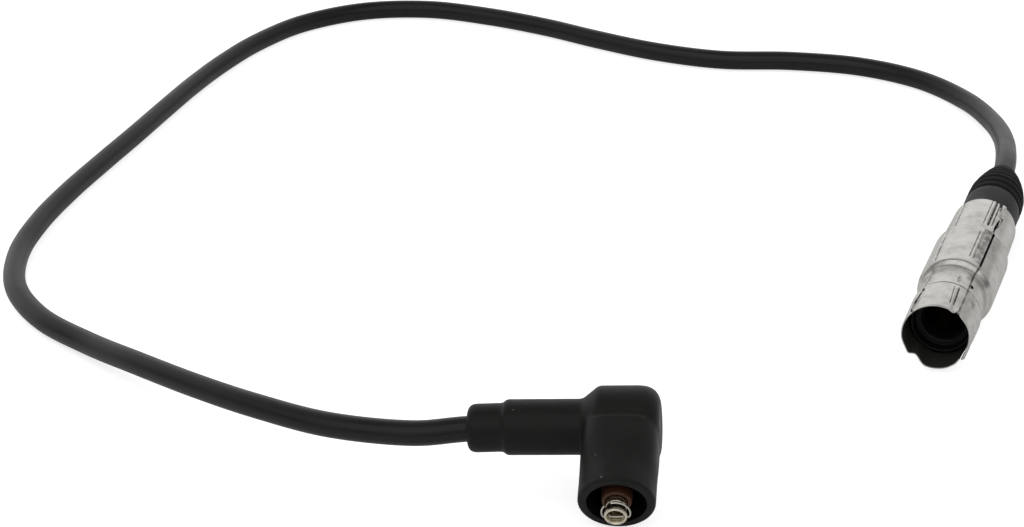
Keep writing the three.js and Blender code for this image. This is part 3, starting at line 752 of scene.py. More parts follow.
@dataclass(frozen=True)
class MouldedFinish:
    """Hard moulded resin or fired ceramic."""

    name: str
    dark: Colour
    pale: Colour
    roughness: float = 0.45
    specular: float = 0.35

    def build(self, effects: Effects) -> bpy.types.Material:
        """Makes the material from the shared effects and returns it.

        Args:
            effects: the shared effects.

        Returns:
            The material.
        """
        m = Material(self.name)
        clouds = m.place(effects.clouds, scale=220.0, contrast=2.0).outputs[0]
        grain = m.place(effects.grain, scale=1800.0, waves=1.0).outputs[0]
        m.set(
            base_color=m.mixed(clouds, self.dark, self.pale),
            roughness=m.ranged(clouds, self.roughness - 0.06, self.roughness + 0.08),
            specular_ior_level=self.specular,
            normal=m.bump(grain, 0.015 * MM),
        )
        return m.material


class Finishes:
    """Every finish of the part, by the material slot of the record."""

    def __init__(self) -> None:
        """Builds the shared effects and the materials."""
        effects = Effects()
        every = (
            RubberFinish("boot_rubber"),
            SheathFinish(),
            PlatedFinish("shield_metal"),
            PlatedFinish("cap_metal", bright=(0.82, 0.78, 0.64), dull=(0.68, 0.63, 0.5),
                         stain_and_shade=(0.1, 0.08, 0.05), stain_share=0.12),
            PlatedFinish("spring_wire", bright=(0.76, 0.74, 0.68), dull=(0.62, 0.6, 0.54), stain_share=0.1),
            PlatedFinish("contact_brass", bright=(0.72, 0.52, 0.24), dull=(0.5, 0.34, 0.14),
                         stain_and_shade=(0.16, 0.1, 0.05)),
            MouldedFinish("black_resin", (0.005, 0.0048, 0.0044), (0.01, 0.0095, 0.009)),
            MouldedFinish("brown_resin", (0.055, 0.023, 0.011), (0.11, 0.047, 0.023)),
            MouldedFinish("resistor_ceramic", (0.6, 0.55, 0.45), (0.7, 0.66, 0.56), 0.55),
        )
        self.by_slot = {finish.name: finish.build(effects) for finish in every}

    def dress(self, piece: bpy.types.Object, slot: str) -> None:
        """Gives a piece the finish of a slot.

        Args:
            piece: the object.
            slot: the record's material slot.
        """
        piece.data.materials.clear()
        piece.data.materials.append(self.by_slot[slot])

    def install(self, piece: bpy.types.Object, node: str, slot: str) -> None:
        """Dresses a piece of the part's one body that stands for a node of the frame.

        Args:
            piece: the object.
            node: the node it stands for.
            slot: the record's material slot.
        """
        self.dress(piece, slot)
        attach(piece, "root")
        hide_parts(node)


# The connectors and the cable


@dataclass
class Place:
    """Where a connector lies: its mouth's centre and how it is turned."""

    x: float
    y: float
    z: float
    yaw: float = 0.0
    pitch: float = 0.0
    roll: float = 0.0

    def matrix(self) -> Matrix:
        """Returns the step from the connector's own frame to the row frame.

        Returns:
            The matrix.
        """
        turns = (
            Matrix.Rotation(math.radians(self.yaw), 4, "Z")
            @ Matrix.Rotation(math.radians(self.pitch), 4, "X")
            @ Matrix.Rotation(math.radians(self.roll), 4, "Y")
        )
        return Matrix.Translation((self.x, self.y, self.z)) @ turns


class PressShape(Enum):
    """The section of a form that is pressed into the sheet."""

    ROUND = "round"
    CHANNEL = "channel"
    FOLD = "fold"
    EDGE = "edge"


@dataclass(frozen=True)
class Press:
    """A form pressed into the shield's sheet. Angles are in degrees, lengths in metres.

    It spreads below and above its angle, and its middle leans by so many degrees for each millimetre along.
    """

    angle: float
    below: float
    above: float
    depth: float
    start: float
    end: float
    ease: float
    shape: PressShape = PressShape.ROUND
    lean: float = 0.0

    def at(self, angle: float, station: np.ndarray) -> np.ndarray:
        """Returns how deep the sheet is pressed in at an angle and each station.

        Args:
            station: stations, in metres.
            angle: an angle round the sheet, in degrees.

        Returns:
            The depth at each station, in metres.
        """
        middle = self.angle + self.lean * (station - (self.start + self.end) / 2) / MM
        turn = (angle - middle + 180.0) % 360.0 - 180.0
        inside = np.clip(1.0 - np.abs(turn) / np.where(turn < 0.0, self.below, self.above), 0.0, 1.0)
        if self.shape is PressShape.ROUND:
            across = 0.5 - 0.5 * np.cos(np.pi * inside)
        elif self.shape is PressShape.CHANNEL:
            across = np.clip(inside * 3.5, 0.0, 1.0)
        else:
            across = inside
        entering = np.clip((station - self.start) / self.ease, 0.0, 1.0)
        leaving = np.clip((self.end - station) / self.ease, 0.0, 1.0)
        along = np.minimum(entering, leaving)
        return self.depth * across * along * along * (3.0 - 2.0 * along)


@dataclass(frozen=True)
class Slit:
    """An opening along the shield's sheet.

    Its course gives, for each point along it, the station, how far its middle lies to the side of its angle,
    and its half width, all in metres. The angle is in degrees.
    """

    angle: float
    course: tuple[tuple[float, float, float], ...]

    def edges(self, station: np.ndarray, side: int) -> np.ndarray:
        """Returns how far the slit's middle or one of its edges lies to the side at each station.

        Args:
            station: stations, in metres.
            side: -1 or 1 for an edge, 0 for the middle.

        Returns:
            The distances, in metres.
        """
        along = [point[0] for point in self.course]
        middle = np.interp(station, along, [point[1] for point in self.course])
        half = np.interp(station, along, [point[2] for point in self.course])
        return middle + side * half

    def is_open(self, station: np.ndarray) -> np.ndarray:
        """Returns whether the sheet is open at each station."""
        return (station > self.course[0][0]) & (station < self.course[-1][0])


@dataclass
class PlugConnector:
    """Straight connector that goes over a spark plug. Stations are counted from its mouth, in metres."""

    place: Place = field(default_factory=lambda: Place(48.625 * MM, -2.7 * MM, 11.5 * MM))
    # The sheet
    sheet: float = 0.4 * MM
    mouth_radius: float = 10.2 * MM
    skirt_radius: float = 10.4 * MM
    skirt_end: float = 16.4 * MM
    neck_radius: float = 9.7 * MM
    neck_end: float = 28.6 * MM
    shoulder_end: float = 32.2 * MM
    barrel_radius: float = 11.5 * MM
    barrel_end: float = 58.2 * MM
    collar_start: float = 60.6 * MM
    collar_radius: float = 10.4 * MM
    rim_radius: float = 10.0 * MM
    collar_end: float = 82.0 * MM
    steep_start: float = 29.1 * MM
    steep_length: float = 2.3 * MM
    # The seam's angle in degrees, the depth and half width of its groove, the share of that depth in line with
    # the other slits, and how many degrees apart a slit's two lips are pressed
    seam: float = 53.0
    seam_groove: float = 0.3 * MM
    seam_half_width: float = 0.28 * MM
    crease_share: float = 0.4
    lip_angle: float = 0.4
    # How far the rims are drawn back beside the seam, at the mouth and at the collar, and how far that reaches
    mouth_nick: float = 1.1 * MM
    collar_nick: float = 2.2 * MM
    nick_reach: float = 6 * MM
    # The vent hole: degrees from the seam, station, half axes, and how far round it the sheet is painted dark
    # as shade
    vent_angle: float = 3.8
    vent_station: float = 20.6 * MM
    vent_width: float = 0.62 * MM
    vent_length: float = 1.05 * MM
    vent_shade: float = 1.2
    # The hook beside the seam: station, radius and half width along it, half its thickness and its lean, in
    # millimetres, and its degrees from the seam
    hook_line: tuple = (
        (73.4, 9.75, 0.3), (74.6, 9.9, 0.36), (76.0, 10.2, 0.4), (77.4, 10.5, 0.46), (78.8, 10.7, 0.6),
        (80.0, 10.75, 0.74), (81.0, 10.65, 0.78), (81.8, 10.4, 0.66), (82.4, 10.0, 0.3),
    )
    hook_thin: float = 0.2
    hook_lean: float = 0.25
    hook_angle: float = 0.8
    # The rubber boot
    boot_radius: float = 8.95 * MM
    boot_taper: float = 105.0 * MM
    boot_end: float = 126.0 * MM
    boot_end_length: float = 1.0 * MM
    boot_exit_radius: float = 4.7 * MM
    boot_bend: float = 1.15 * MM
    rings: int = 6
    ring_start: float = 96.0 * MM
    ring_pitch: float = 4.0 * MM
    ring_groove: float = 0.6 * MM
    # Station in millimetres, share of the groove's depth and rounding in millimetres of each corner of a ring
    ring_section: tuple = (
        (0.1, 0.0, 0.25), (0.55, 1.0, 0.2), (1.15, 1.0, 0.25), (2.0, 0.0, 0.5), (3.1, -0.12, 0.4),
    )
    tail_end: float = 99.9 * MM
    tail_bore: float = 6.4 * MM
    cable_bore: float = 3.9 * MM
    # The seal
    seal_front: float = 12.0 * MM
    seal_back: float = 27.0 * MM
    seal_radius: float = 8.65 * MM
    seal_bore: float = 5.4 * MM
    seal_rear_bore: float = 7.1 * MM
    # Painted shade: the most in a groove and how deep that groove is, the shade on the seam and on the strip
    # beside it, that strip's two angles, and the most darkening in all, darker patches included
    groove_shade: float = 0.85
    groove_shade_depth: float = 0.32 * MM
    seam_shade: float = 0.55
    strip: tuple[float, float] = (54.0, 67.5)
    strip_shade: float = 0.48
    most_darkening: float = 0.95
    # Angle, station in millimetres, spread in degrees, reach in millimetres and strength of each darker patch;
    # those at stations 26 to 31 mm, round the shoulder's step, are painted shade
    dark_patches: tuple = (
        (40.0, 12.4, 7.0, 1.0, 0.5), (32.0, 11.6, 3.0, 1.8, 0.35), (14.0, 5.0, 3.0, 1.0, 0.45),
        (44.0, 50.0, 5.0, 7.0, 0.3), (36.0, 42.0, 5.0, 9.0, 0.22), (58.0, 26.5, 4.5, 2.6, 0.6),
        (34.0, 28.0, 14.0, 2.0, 0.5), (128.0, 28.5, 5.0, 2.2, 0.5), (61.0, 50.0, 6.0, 14.0, 0.18),
        (66.0, 8.0, 5.0, 5.0, 0.12), (116.0, 30.4, 9.0, 1.4, 0.28), (57.0, 79.5, 3.0, 1.6, 0.5),
        (75.0, 61.0, 5.0, 1.2, 0.3),
    )

    def presses(self) -> list[Press]:
        """Returns every form pressed into the sheet.

        Returns:
            The forms; their depths add up.
        """
        seam, skirt, neck, shoulder = self.seam, self.skirt_end, self.neck_end, self.shoulder_end
        barrel, collar, rim = self.barrel_end, self.collar_start, self.collar_end + 2 * MM
        fold, channel = PressShape.FOLD, PressShape.CHANNEL
        return [
            Press(seam + 22.0, 1.3, 1.3, 0.24 * MM, collar + 1.6 * MM, rim, 1.5 * MM, fold),
            Press(seam + 18.5, 2.0, 2.0, -0.12 * MM, collar + 2 * MM, rim, 2 * MM),
            Press(seam + 13.6, 2.2, 2.6, 0.6 * MM, collar + 1.6 * MM, rim, 1.5 * MM, fold),
            Press(seam + 7.2, 1.6, 1.6, 0.4 * MM, collar + 2.4 * MM, rim, 2 * MM, fold),
            Press(seam + 20.3, 1.5, 1.5, 0.26 * MM, shoulder + 1.8 * MM, barrel - 3 * MM, 1.5 * MM, fold),
            Press(seam + 17.3, 1.4, 1.4, -0.16 * MM, shoulder + 1.0 * MM, barrel - 2.6 * MM, 1.5 * MM),
            Press(seam + 14.4, 1.5, 1.5, 0.26 * MM, shoulder + 1.8 * MM, barrel - 3 * MM, 1.5 * MM, fold),
            Press(seam + 8.0, 7.0, 7.0, 0.14 * MM, shoulder + 2 * MM, barrel - 0.5 * MM, 2 * MM, channel),
            Press(seam + 14.5, 1.2, 1.2, 0.3 * MM, barrel - 2.6 * MM, barrel - 1.2 * MM, 0.6 * MM, fold),
            Press(seam + 21.5, 5.5, 2.2, 0.5 * MM, skirt + 1.8 * MM, neck - 4.5 * MM, 2.5 * MM),
            Press(seam + 21.0, 1.3, 1.3, 0.26 * MM, 2.4 * MM, skirt - 1.2 * MM, 1.5 * MM, fold, 0.3),
            Press(seam + 18.2, 1.5, 1.5, -0.14 * MM, 2.4 * MM, skirt - 1.2 * MM, 1.5 * MM, lean=0.3),
            Press(seam + 13.4, 1.3, 2.4, 0.36 * MM, 2.4 * MM, skirt - 1.2 * MM, 1.5 * MM, fold, 0.2),
            Press(125.5, 1.8, 1.8, 0.6 * MM, collar + 0.6 * MM, self.collar_end - 1 * MM, 1 * MM, fold, 0.2),
            Press(126.5, 1.8, 1.8, 0.6 * MM, shoulder, barrel, 1 * MM, fold, 0.1),
            Press(127.0, 1.0, 1.0, 0.2 * MM, 0.5 * MM, 10.0 * MM, 1.5 * MM, fold),
            Press(136.0, 6.0, 8.0, 0.35 * MM, 6.5 * MM, 15.5 * MM, 3.5 * MM),
            Press(228.0, 12.0, 29.0, 1.6 * MM, -16 * MM, 16 * MM, 16 * MM),
            Press(345.0, 40.0, 40.0, 0.45 * MM, -9 * MM, 9 * MM, 9 * MM),
            Press(305.0, 20.0, 20.0, 0.15 * MM, -6 * MM, 6 * MM, 6 * MM),
            Press(319.9, 14.0, 0.3, 0.5 * MM, -14 * MM, 15 * MM, 14 * MM, PressShape.EDGE),
            Press(205.0, 20.0, 20.0, 0.25 * MM, -6 * MM, 6 * MM, 6 * MM),
            Press(seam + 3.0, 4.0, 4.0, -0.75 * MM, -2.5 * MM, 2.5 * MM, 2.5 * MM),
            Press(seam + 10.0, 8.0, 8.0, 0.3 * MM, -5 * MM, 5 * MM, 5 * MM),
            Press(seam - 14.0, 8.0, 8.0, 0.12 * MM, 8.5 * MM, 15.6 * MM, 2.5 * MM),
        ]

    def slits(self) -> list[Slit]:
        """Returns every slit in the sheet.

        Returns:
            The slits; those of one angle share their columns.
        """
        shoulder, barrel, collar = self.shoulder_end, self.barrel_end, self.collar_start
        wide = 0.38 * MM
        return [
            Slit(self.seam, ((shoulder + 0.6 * MM, 0.0, wide), (barrel + 0.3 * MM, 0.0, wide))),
            Slit(self.seam, (
                (collar + 0.6 * MM, 0.0, 0.12 * MM), (collar + 2.9 * MM, 0.07 * MM, 0.36 * MM),
                (collar + 6.8 * MM, -0.32 * MM, 0.52 * MM), (collar + 9.8 * MM, -0.66 * MM, 0.52 * MM),
                (collar + 12.4 * MM, -1.04 * MM, 0.2 * MM),
            )),
            Slit(131.0, (
                (-2 * MM, 0.8 * MM, 0.14 * MM), (8.0 * MM, 0.45 * MM, 0.24 * MM),
                (11.0 * MM, 0.1 * MM, 0.5 * MM), (14.2 * MM, -0.2 * MM, 0.48 * MM),
                (15.0 * MM, -0.22 * MM, 0.12 * MM), (26.0 * MM, 0.1 * MM, 0.16 * MM),
            )),
            Slit(320.0, (
                (-2 * MM, 0.4 * MM, 0.6 * MM), (8.0 * MM, 0.2 * MM, 0.4 * MM), (25.0 * MM, 0.0, 0.2 * MM),
            )),
        ]

    def set_back(self, angle: float, station: np.ndarray) -> np.ndarray:
        """Returns how far the sheet's two rims are drawn back beside the seam.

        Args:
            station: stations, in metres.
            angle: an angle round the sheet, in degrees.

        Returns:
            The step towards the collar at each station, in metres.
        """
        mouth = np.interp(angle, (self.seam - 9, self.seam + 2, self.seam + 7), (0.0, self.mouth_nick, 0.0))
        collar = np.interp(angle, (self.seam - 7, self.seam - 3, self.seam + 6, self.seam + 10),
                           (0.0, self.collar_nick, self.collar_nick, 0.0))
        near_mouth = np.clip(1.0 - station / self.nick_reach, 0.0, 1.0)
        near_collar = np.clip(1.0 - (self.collar_end - station) / self.nick_reach, 0.0, 1.0)
        return mouth * near_mouth - collar * near_collar

    def base_radius(self, station: np.ndarray) -> np.ndarray:
        """Returns the sheet's outer radius at each station, before anything is pressed in.

        Args:
            station: stations, in metres.

        Returns:
            The radii, in metres.
        """
        steep, rise = self.steep_start, self.steep_length
        knots = [
            (-0.1 * MM, self.mouth_radius - 0.12 * MM),
            (0.4 * MM, self.mouth_radius),
            (self.skirt_end - 0.45 * MM, self.skirt_radius),
            (self.skirt_end, self.skirt_radius - 0.45 * MM),
            (self.skirt_end + 0.45 * MM, self.skirt_radius - 0.14 * MM),
            (self.skirt_end + 5.5 * MM, self.neck_radius + 0.24 * MM),
            (self.neck_end - 1.6 * MM, self.neck_radius),
            (self.neck_end, self.neck_radius + 0.02 * MM),
            (self.neck_end + 0.5 * MM, self.neck_radius + 0.1 * MM),
            (self.shoulder_end - 0.8 * MM, self.barrel_radius - 0.1 * MM),
            (self.shoulder_end, self.barrel_radius - 0.02 * MM),
            (self.shoulder_end + 1.0 * MM, self.barrel_radius),
            (self.barrel_end - 0.6 * MM, self.barrel_radius),
            (self.barrel_end, self.barrel_radius - 0.12 * MM),
            (self.collar_start, self.collar_radius + 0.05 * MM),
            (self.collar_start + 0.7 * MM, self.collar_radius),
            (self.collar_end, self.rim_radius),
        ]
        plain = np.interp(station, [k[0] for k in knots], [k[1] for k in knots])
        share = np.clip((station - steep) / rise, 0.0, 1.0)
        wall = self.neck_radius + 0.1 * MM + (self.barrel_radius - self.neck_radius - 0.2 * MM) * (
            share * share * (3.0 - 2.0 * share))
        return np.where((station > steep) & (station < steep + rise), wall, plain)

    def stations(self) -> np.ndarray:
        """Returns the stations of the sheet's rows, close together where its form changes.

        Returns:
            The stations, in metres.
        """
        spans = [
            (0.0, 1.2, 5), (1.2, 15.4, 28), (15.4, 17.4, 14), (17.4, 19.2, 4), (19.2, 22.0, 20),
            (22.0, 28.6, 13), (28.6, 32.6, 36), (32.6, 57.2, 30), (57.2, 61.6, 18), (61.6, 74.2, 36),
            (74.2, 82.0, 14),
        ]
        rows = [np.linspace(a, b, n, endpoint=False) for a, b, n in spans]
        return np.concatenate([*rows, [82.0]]) * MM

    def columns(self) -> list[tuple[float, bool, int]]:
        """Returns the sheet's columns as (angle, whether a slit runs there, side of the slit).

        Returns:
            The columns in the order of their angle and side.
        """
        marks = list(dict.fromkeys(slit.angle for slit in self.slits()))
        fixed = [(angle, True, side) for angle in marks for side in (-1, 0, 1)]
        free = []
        for angle in np.arange(0.0, 360.0, 0.25):
            away = min(abs((angle - a + 180.0) % 360.0 - 180.0) for a in marks)
            if away < 2.4:
                continue
            near = any(
                abs((angle - p.angle + 180.0) % 360.0 - 180.0) < p.above + 2.0
                for p in self.presses() if p.above < 12.0
            )
            spacing = 0.5 if near else 2.0
            last = free[-1] if free else -90.0
            if angle - last >= spacing - 1e-6:
                free.append(angle)
        near_slits = [a + d for a in marks for d in (-3.0, 3.0)]
        free = [a for a in free if min(abs(a - n) for n in near_slits) > 0.4] + near_slits
        both = [(a % 360.0, False, 0) for a in free] + fixed
        return sorted(both, key=lambda c: (c[0], c[2]))

    def shield(self) -> bpy.types.Object:
        """Builds the sheet metal shield: pressed, slit and seamed.

        Returns:
            The object.
        """
        stations, columns, slits = self.stations(), self.columns(), self.slits()
        radius = self.base_radius(stations)
        grid = np.zeros((len(stations), len(columns), 3))
        wrap = np.zeros((len(stations), len(columns), 2))
        shade_and_patches = np.zeros((len(stations), len(columns)))
        painted_shade = np.zeros((len(stations), len(columns)))
        for c, (angle, slitted, side) in enumerate(columns):
            pressed = radius - sum(p.at(angle + self.lip_angle * side, stations) for p in self.presses())
            turn = np.full_like(stations, math.radians(angle))
            if slitted:
                shift = np.full_like(stations, self.seam_half_width * side)
                opened = np.zeros_like(stations, dtype=bool)
                for slit in slits:
                    if slit.angle == angle:
                        here = slit.is_open(stations)
                        shift = np.where(here, slit.edges(stations, side), shift)
                        opened |= here
                turn = turn + shift / radius
                if side == 0:
                    share = 1.0 if angle == self.seam else self.crease_share
                    pressed = pressed - np.where(opened, 0.0, self.seam_groove * share)
            along = stations + self.set_back(angle, stations)
            grid[:, c] = np.stack([pressed * np.cos(turn), along, pressed * np.sin(turn)], axis=1)
            wrap[:, c] = np.stack([radius * math.radians(angle), stations], axis=1)
            shade_and_patches[:, c] = self.shade_and_patches(angle, stations)
            # Painted shade round the vent hole
            painted_shade[:, c] = self._from_vent(angle, stations) < self.vent_shade
        faces = []
        count = len(columns)
        for row in range(len(stations) - 1):
            middle = (stations[row] + stations[row + 1]) / 2
            for c in range(count):
                nxt = (c + 1) % count
                vented = self._from_vent(columns[c][0], middle) < 1.0
                if vented or self._is_open(columns[c], columns[nxt], middle):
                    continue
                a, b = row * count + c, row * count + nxt
                faces.append((a, a + count, b + count, b))
        piece = mesh_piece("shield_sheet", grid.reshape(-1, 3), faces, self.place.matrix(),
                           wrap.reshape(-1, 2), 35.0)
        paint(piece, "shade_and_patches", shade_and_patches.ravel())
        paint(piece, "painted_shade", painted_shade.ravel())
        form = bmesh.new()
        form.from_mesh(piece.data)
        loose = [v for v in form.verts if not v.link_faces]
        bmesh.ops.delete(form, geom=loose, context="VERTS")
        form.to_mesh(piece.data)
        form.free()
        outer = len(piece.data.vertices)
        thick = piece.modifiers.new("sheet", "SOLIDIFY")
        thick.thickness = self.sheet
        thick.offset = -1.0
        applied(piece)
        dark = piece.data.attributes["painted_shade"]
        values = np.zeros(len(dark.data), dtype=np.float32)
        dark.data.foreach_get("value", values)
        # The sheet's inner face is painted dark as shade
        values[outer:] = 1.0
        dark.data.foreach_set("value", values)
        return piece

    def shade_and_patches(self, angle: float, station: np.ndarray) -> np.ndarray:
        """Returns the painted shade in the sheet's grooves, on its seam and strip, and its darker patches.

        Args:
            station: stations, in metres.
            angle: an angle round the sheet, in degrees.

        Returns:
            The darkening at each station, from 0 to 1.
        """
        # Painted shade in the pressed folds, darker in deeper folds
        deep = sum(
            np.clip(p.at(angle, station) / self.groove_shade_depth, 0.0, self.groove_shade)
            for p in self.presses() if p.shape is PressShape.FOLD
        )
        # Painted shade in the bead's groove
        bead = self.groove_shade * np.clip(1.0 - np.abs(station - self.skirt_end) / (0.5 * MM), 0.0, 1.0)
        # Painted shade on the strip beside the seam and along the seam itself
        beside = self.strip[0] < angle < self.strip[1]
        on_barrel = (station > self.shoulder_end + 1 * MM) & (station < self.barrel_end)
        dull = np.where(on_barrel, self.strip_shade * beside, 0.0)
        seam = self.seam_shade * max(0.0, 1.0 - abs(angle - self.seam) / 2.0)
        total = deep + bead + seam + dull
        for middle, along, spread, reach, strength in self.dark_patches:
            away = ((angle - middle) / spread) ** 2 + ((station / MM - along) / reach) ** 2
            total = total + strength * np.exp(-away)
        return np.clip(total, 0.0, self.most_darkening)

    def _is_open(self, left: tuple, right: tuple, station: float) -> bool:
        """Returns whether the face between two columns is in an open slit.

        Args:
            left: the column on its left.
            right: the column on its right.
            station: the face's middle, in metres.

        Returns:
            True where there is no sheet.
        """
        if not (left[1] and right[1]) or left[0] != right[0]:
            return False
        return any(s.angle == left[0] and s.is_open(np.array(station)) for s in self.slits())

    def _from_vent(self, angle: float, station: np.ndarray) -> np.ndarray:
        """Returns how far a place lies from the middle of the oval vent hole; 1 is its edge."""
        across = math.radians(angle - (self.seam - self.vent_angle)) * self.neck_radius
        return np.hypot(across / self.vent_width, (station - self.vent_station) / self.vent_length)

    def hook(self) -> bpy.types.Object:
        """Builds the small tongue that stands up from the seam at the collar's rim and hooks over it.

        Returns:
            The object.
        """
        line, sides = self.hook_line, 12
        vertices, wrap, faces = [], [], []
        for station, radius, half in line:
            for k in range(sides):
                angle = 2 * math.pi * k / sides
                across = half * math.cos(angle) - self.hook_lean * (station - line[0][0]) / 9.5
                vertices.append((radius + self.hook_thin * math.sin(angle), station, across))
                wrap.append((across, station))
        for row in range(len(line) - 1):
            for k in range(sides):
                a, b = row * sides + k, row * sides + (k + 1) % sides
                faces.append((a, b, b + sides, a + sides))
        last = (len(line) - 1) * sides
        faces += [tuple(reversed(range(sides))), tuple(range(last, last + sides))]
        turn = Matrix.Rotation(-math.radians(self.seam + self.hook_angle), 4, "Y")
        place = self.place.matrix() @ turn
        piece = mesh_piece("shield_hook", np.array(vertices) * MM, faces, place, np.array(wrap) * MM, 50.0)
        soften = piece.modifiers.new("soften", "SUBSURF")
        soften.levels = 2
        return applied(piece)

    def bend_at(self, station: float) -> float:
        """Returns how far the rubber boot's axis is pulled towards -X at a station."""
        share = max(0.0, (station - self.tail_end) / (self.boot_end - self.tail_end))
        return self.boot_bend * (share ** 2 if share < 1.0 else 2.0 * share - 1.0)

    def boot_outside(self, station: float) -> float:
        """Returns the boot's outer radius at a station, between its rings.

        Args:
            station: the station, in metres.

        Returns:
            The radius, in metres.
        """
        share = (station - self.boot_taper) / (self.boot_end - self.boot_end_length - self.boot_taper)
        narrowed = min(max(share, 0.0), 1.0) ** 1.4
        return self.boot_radius + (self.boot_exit_radius - self.boot_radius) * narrowed

    def boot(self) -> bpy.types.Object:
        """Builds the rubber boot with its rings, pulled to one side by the cable.

        Returns:
            The object.
        """
        start = self.collar_start + 1 * MM
        corners: list[tuple] = [(start, self.tail_bore), (start, self.boot_radius, 0.4 * MM)]
        corners += [(start + (self.ring_start - start) * k / 12, self.boot_radius) for k in range(1, 12)]
        for ring in range(self.rings):
            low = self.ring_start + ring * self.ring_pitch
            for along, groove, rounding in self.ring_section:
                station = low + along * MM
                outside = self.boot_outside(station)
                corners.append((station, outside - groove * self.ring_groove, rounding * MM))
        tail = self.ring_start + self.rings * self.ring_pitch
        end = self.boot_end
        plain = [tail + along * MM for along in (0.4, 1.6, 2.8, 4.0)]
        corners += [(station, self.boot_outside(station)) for station in plain]
        corners += [
            (end - self.boot_end_length, self.boot_exit_radius, 0.3 * MM),
            (end, self.boot_exit_radius - 0.35 * MM, 0.35 * MM),
            (end, self.cable_bore),
            (self.tail_end + 0.3 * MM, self.cable_bore),
            (self.tail_end + 0.3 * MM, self.tail_bore),
        ]
        piece = turned("plug_boot_rubber", rounded(corners, Rounding.COARSE), 96, Matrix.Identity(4), 50.0)
        stations = np.array([vertex.co.y for vertex in piece.data.vertices])
        paint(piece, "ribbed", np.clip((stations - self.ring_start) / MM, 0.0, 1.0))
        for vertex in piece.data.vertices:
            vertex.co.x -= self.bend_at(vertex.co.y)
        piece.data.transform(self.place.matrix())
        return piece

    def seal(self) -> bpy.types.Object:
        """Builds the rubber seal inside the shield, with its lips.

        Returns:
            The object.
        """
        front, outer, bore = self.seal_front, self.seal_radius, self.seal_bore
        corners = [
            (front + 2.6 * MM, bore, 0.3 * MM),
            (front + 0.3 * MM, bore + 1.0 * MM, 0.3 * MM),
            (front, bore + 1.5 * MM, 0.25 * MM),
            (front, outer - 0.7 * MM, 0.3 * MM),
            (front - 2.6 * MM, outer - 0.15 * MM, 0.2 * MM),
            (front - 2.7 * MM, outer + 0.35 * MM, 0.2 * MM),
            (front + 1.4 * MM, outer, 0.3 * MM),
            (front + 2.2 * MM, outer - 0.5 * MM, 0.3 * MM),
            (front + 3.2 * MM, outer, 0.3 * MM),
            (self.seal_back, outer, 0.2 * MM),
            (self.seal_back, self.seal_rear_bore),
            (front + 5.3 * MM, self.seal_rear_bore),
            (front + 5.3 * MM, bore + 0.3 * MM),
            (front + 4.3 * MM, bore + 0.45 * MM, 0.2 * MM),
        ]
        return turned("seal_rubber", rounded(corners, Rounding.COARSE), 72, self.place.matrix(), 45.0)

    def build(self, finishes: Finishes, frame: dict) -> list[bpy.types.Object]:
        """Builds and dresses the plug connector.

        Args:
            finishes: the materials.

        Returns:
            The new pieces.
        """
        shield, hook, boot, seal = self.shield(), self.hook(), self.boot(), self.seal()
        for piece, node, slot in (
            (shield, "plug_shield", "shield_metal"),
            (hook, "plug_shield", "shield_metal"),
            (boot, "plug_boot", "boot_rubber"),
            (seal, "plug_seal", "boot_rubber"),
        ):
            finishes.install(piece, node, slot)
        dress_nodes(frame, PLUG_HIDDEN, finishes)
        return [shield, hook, boot, seal]


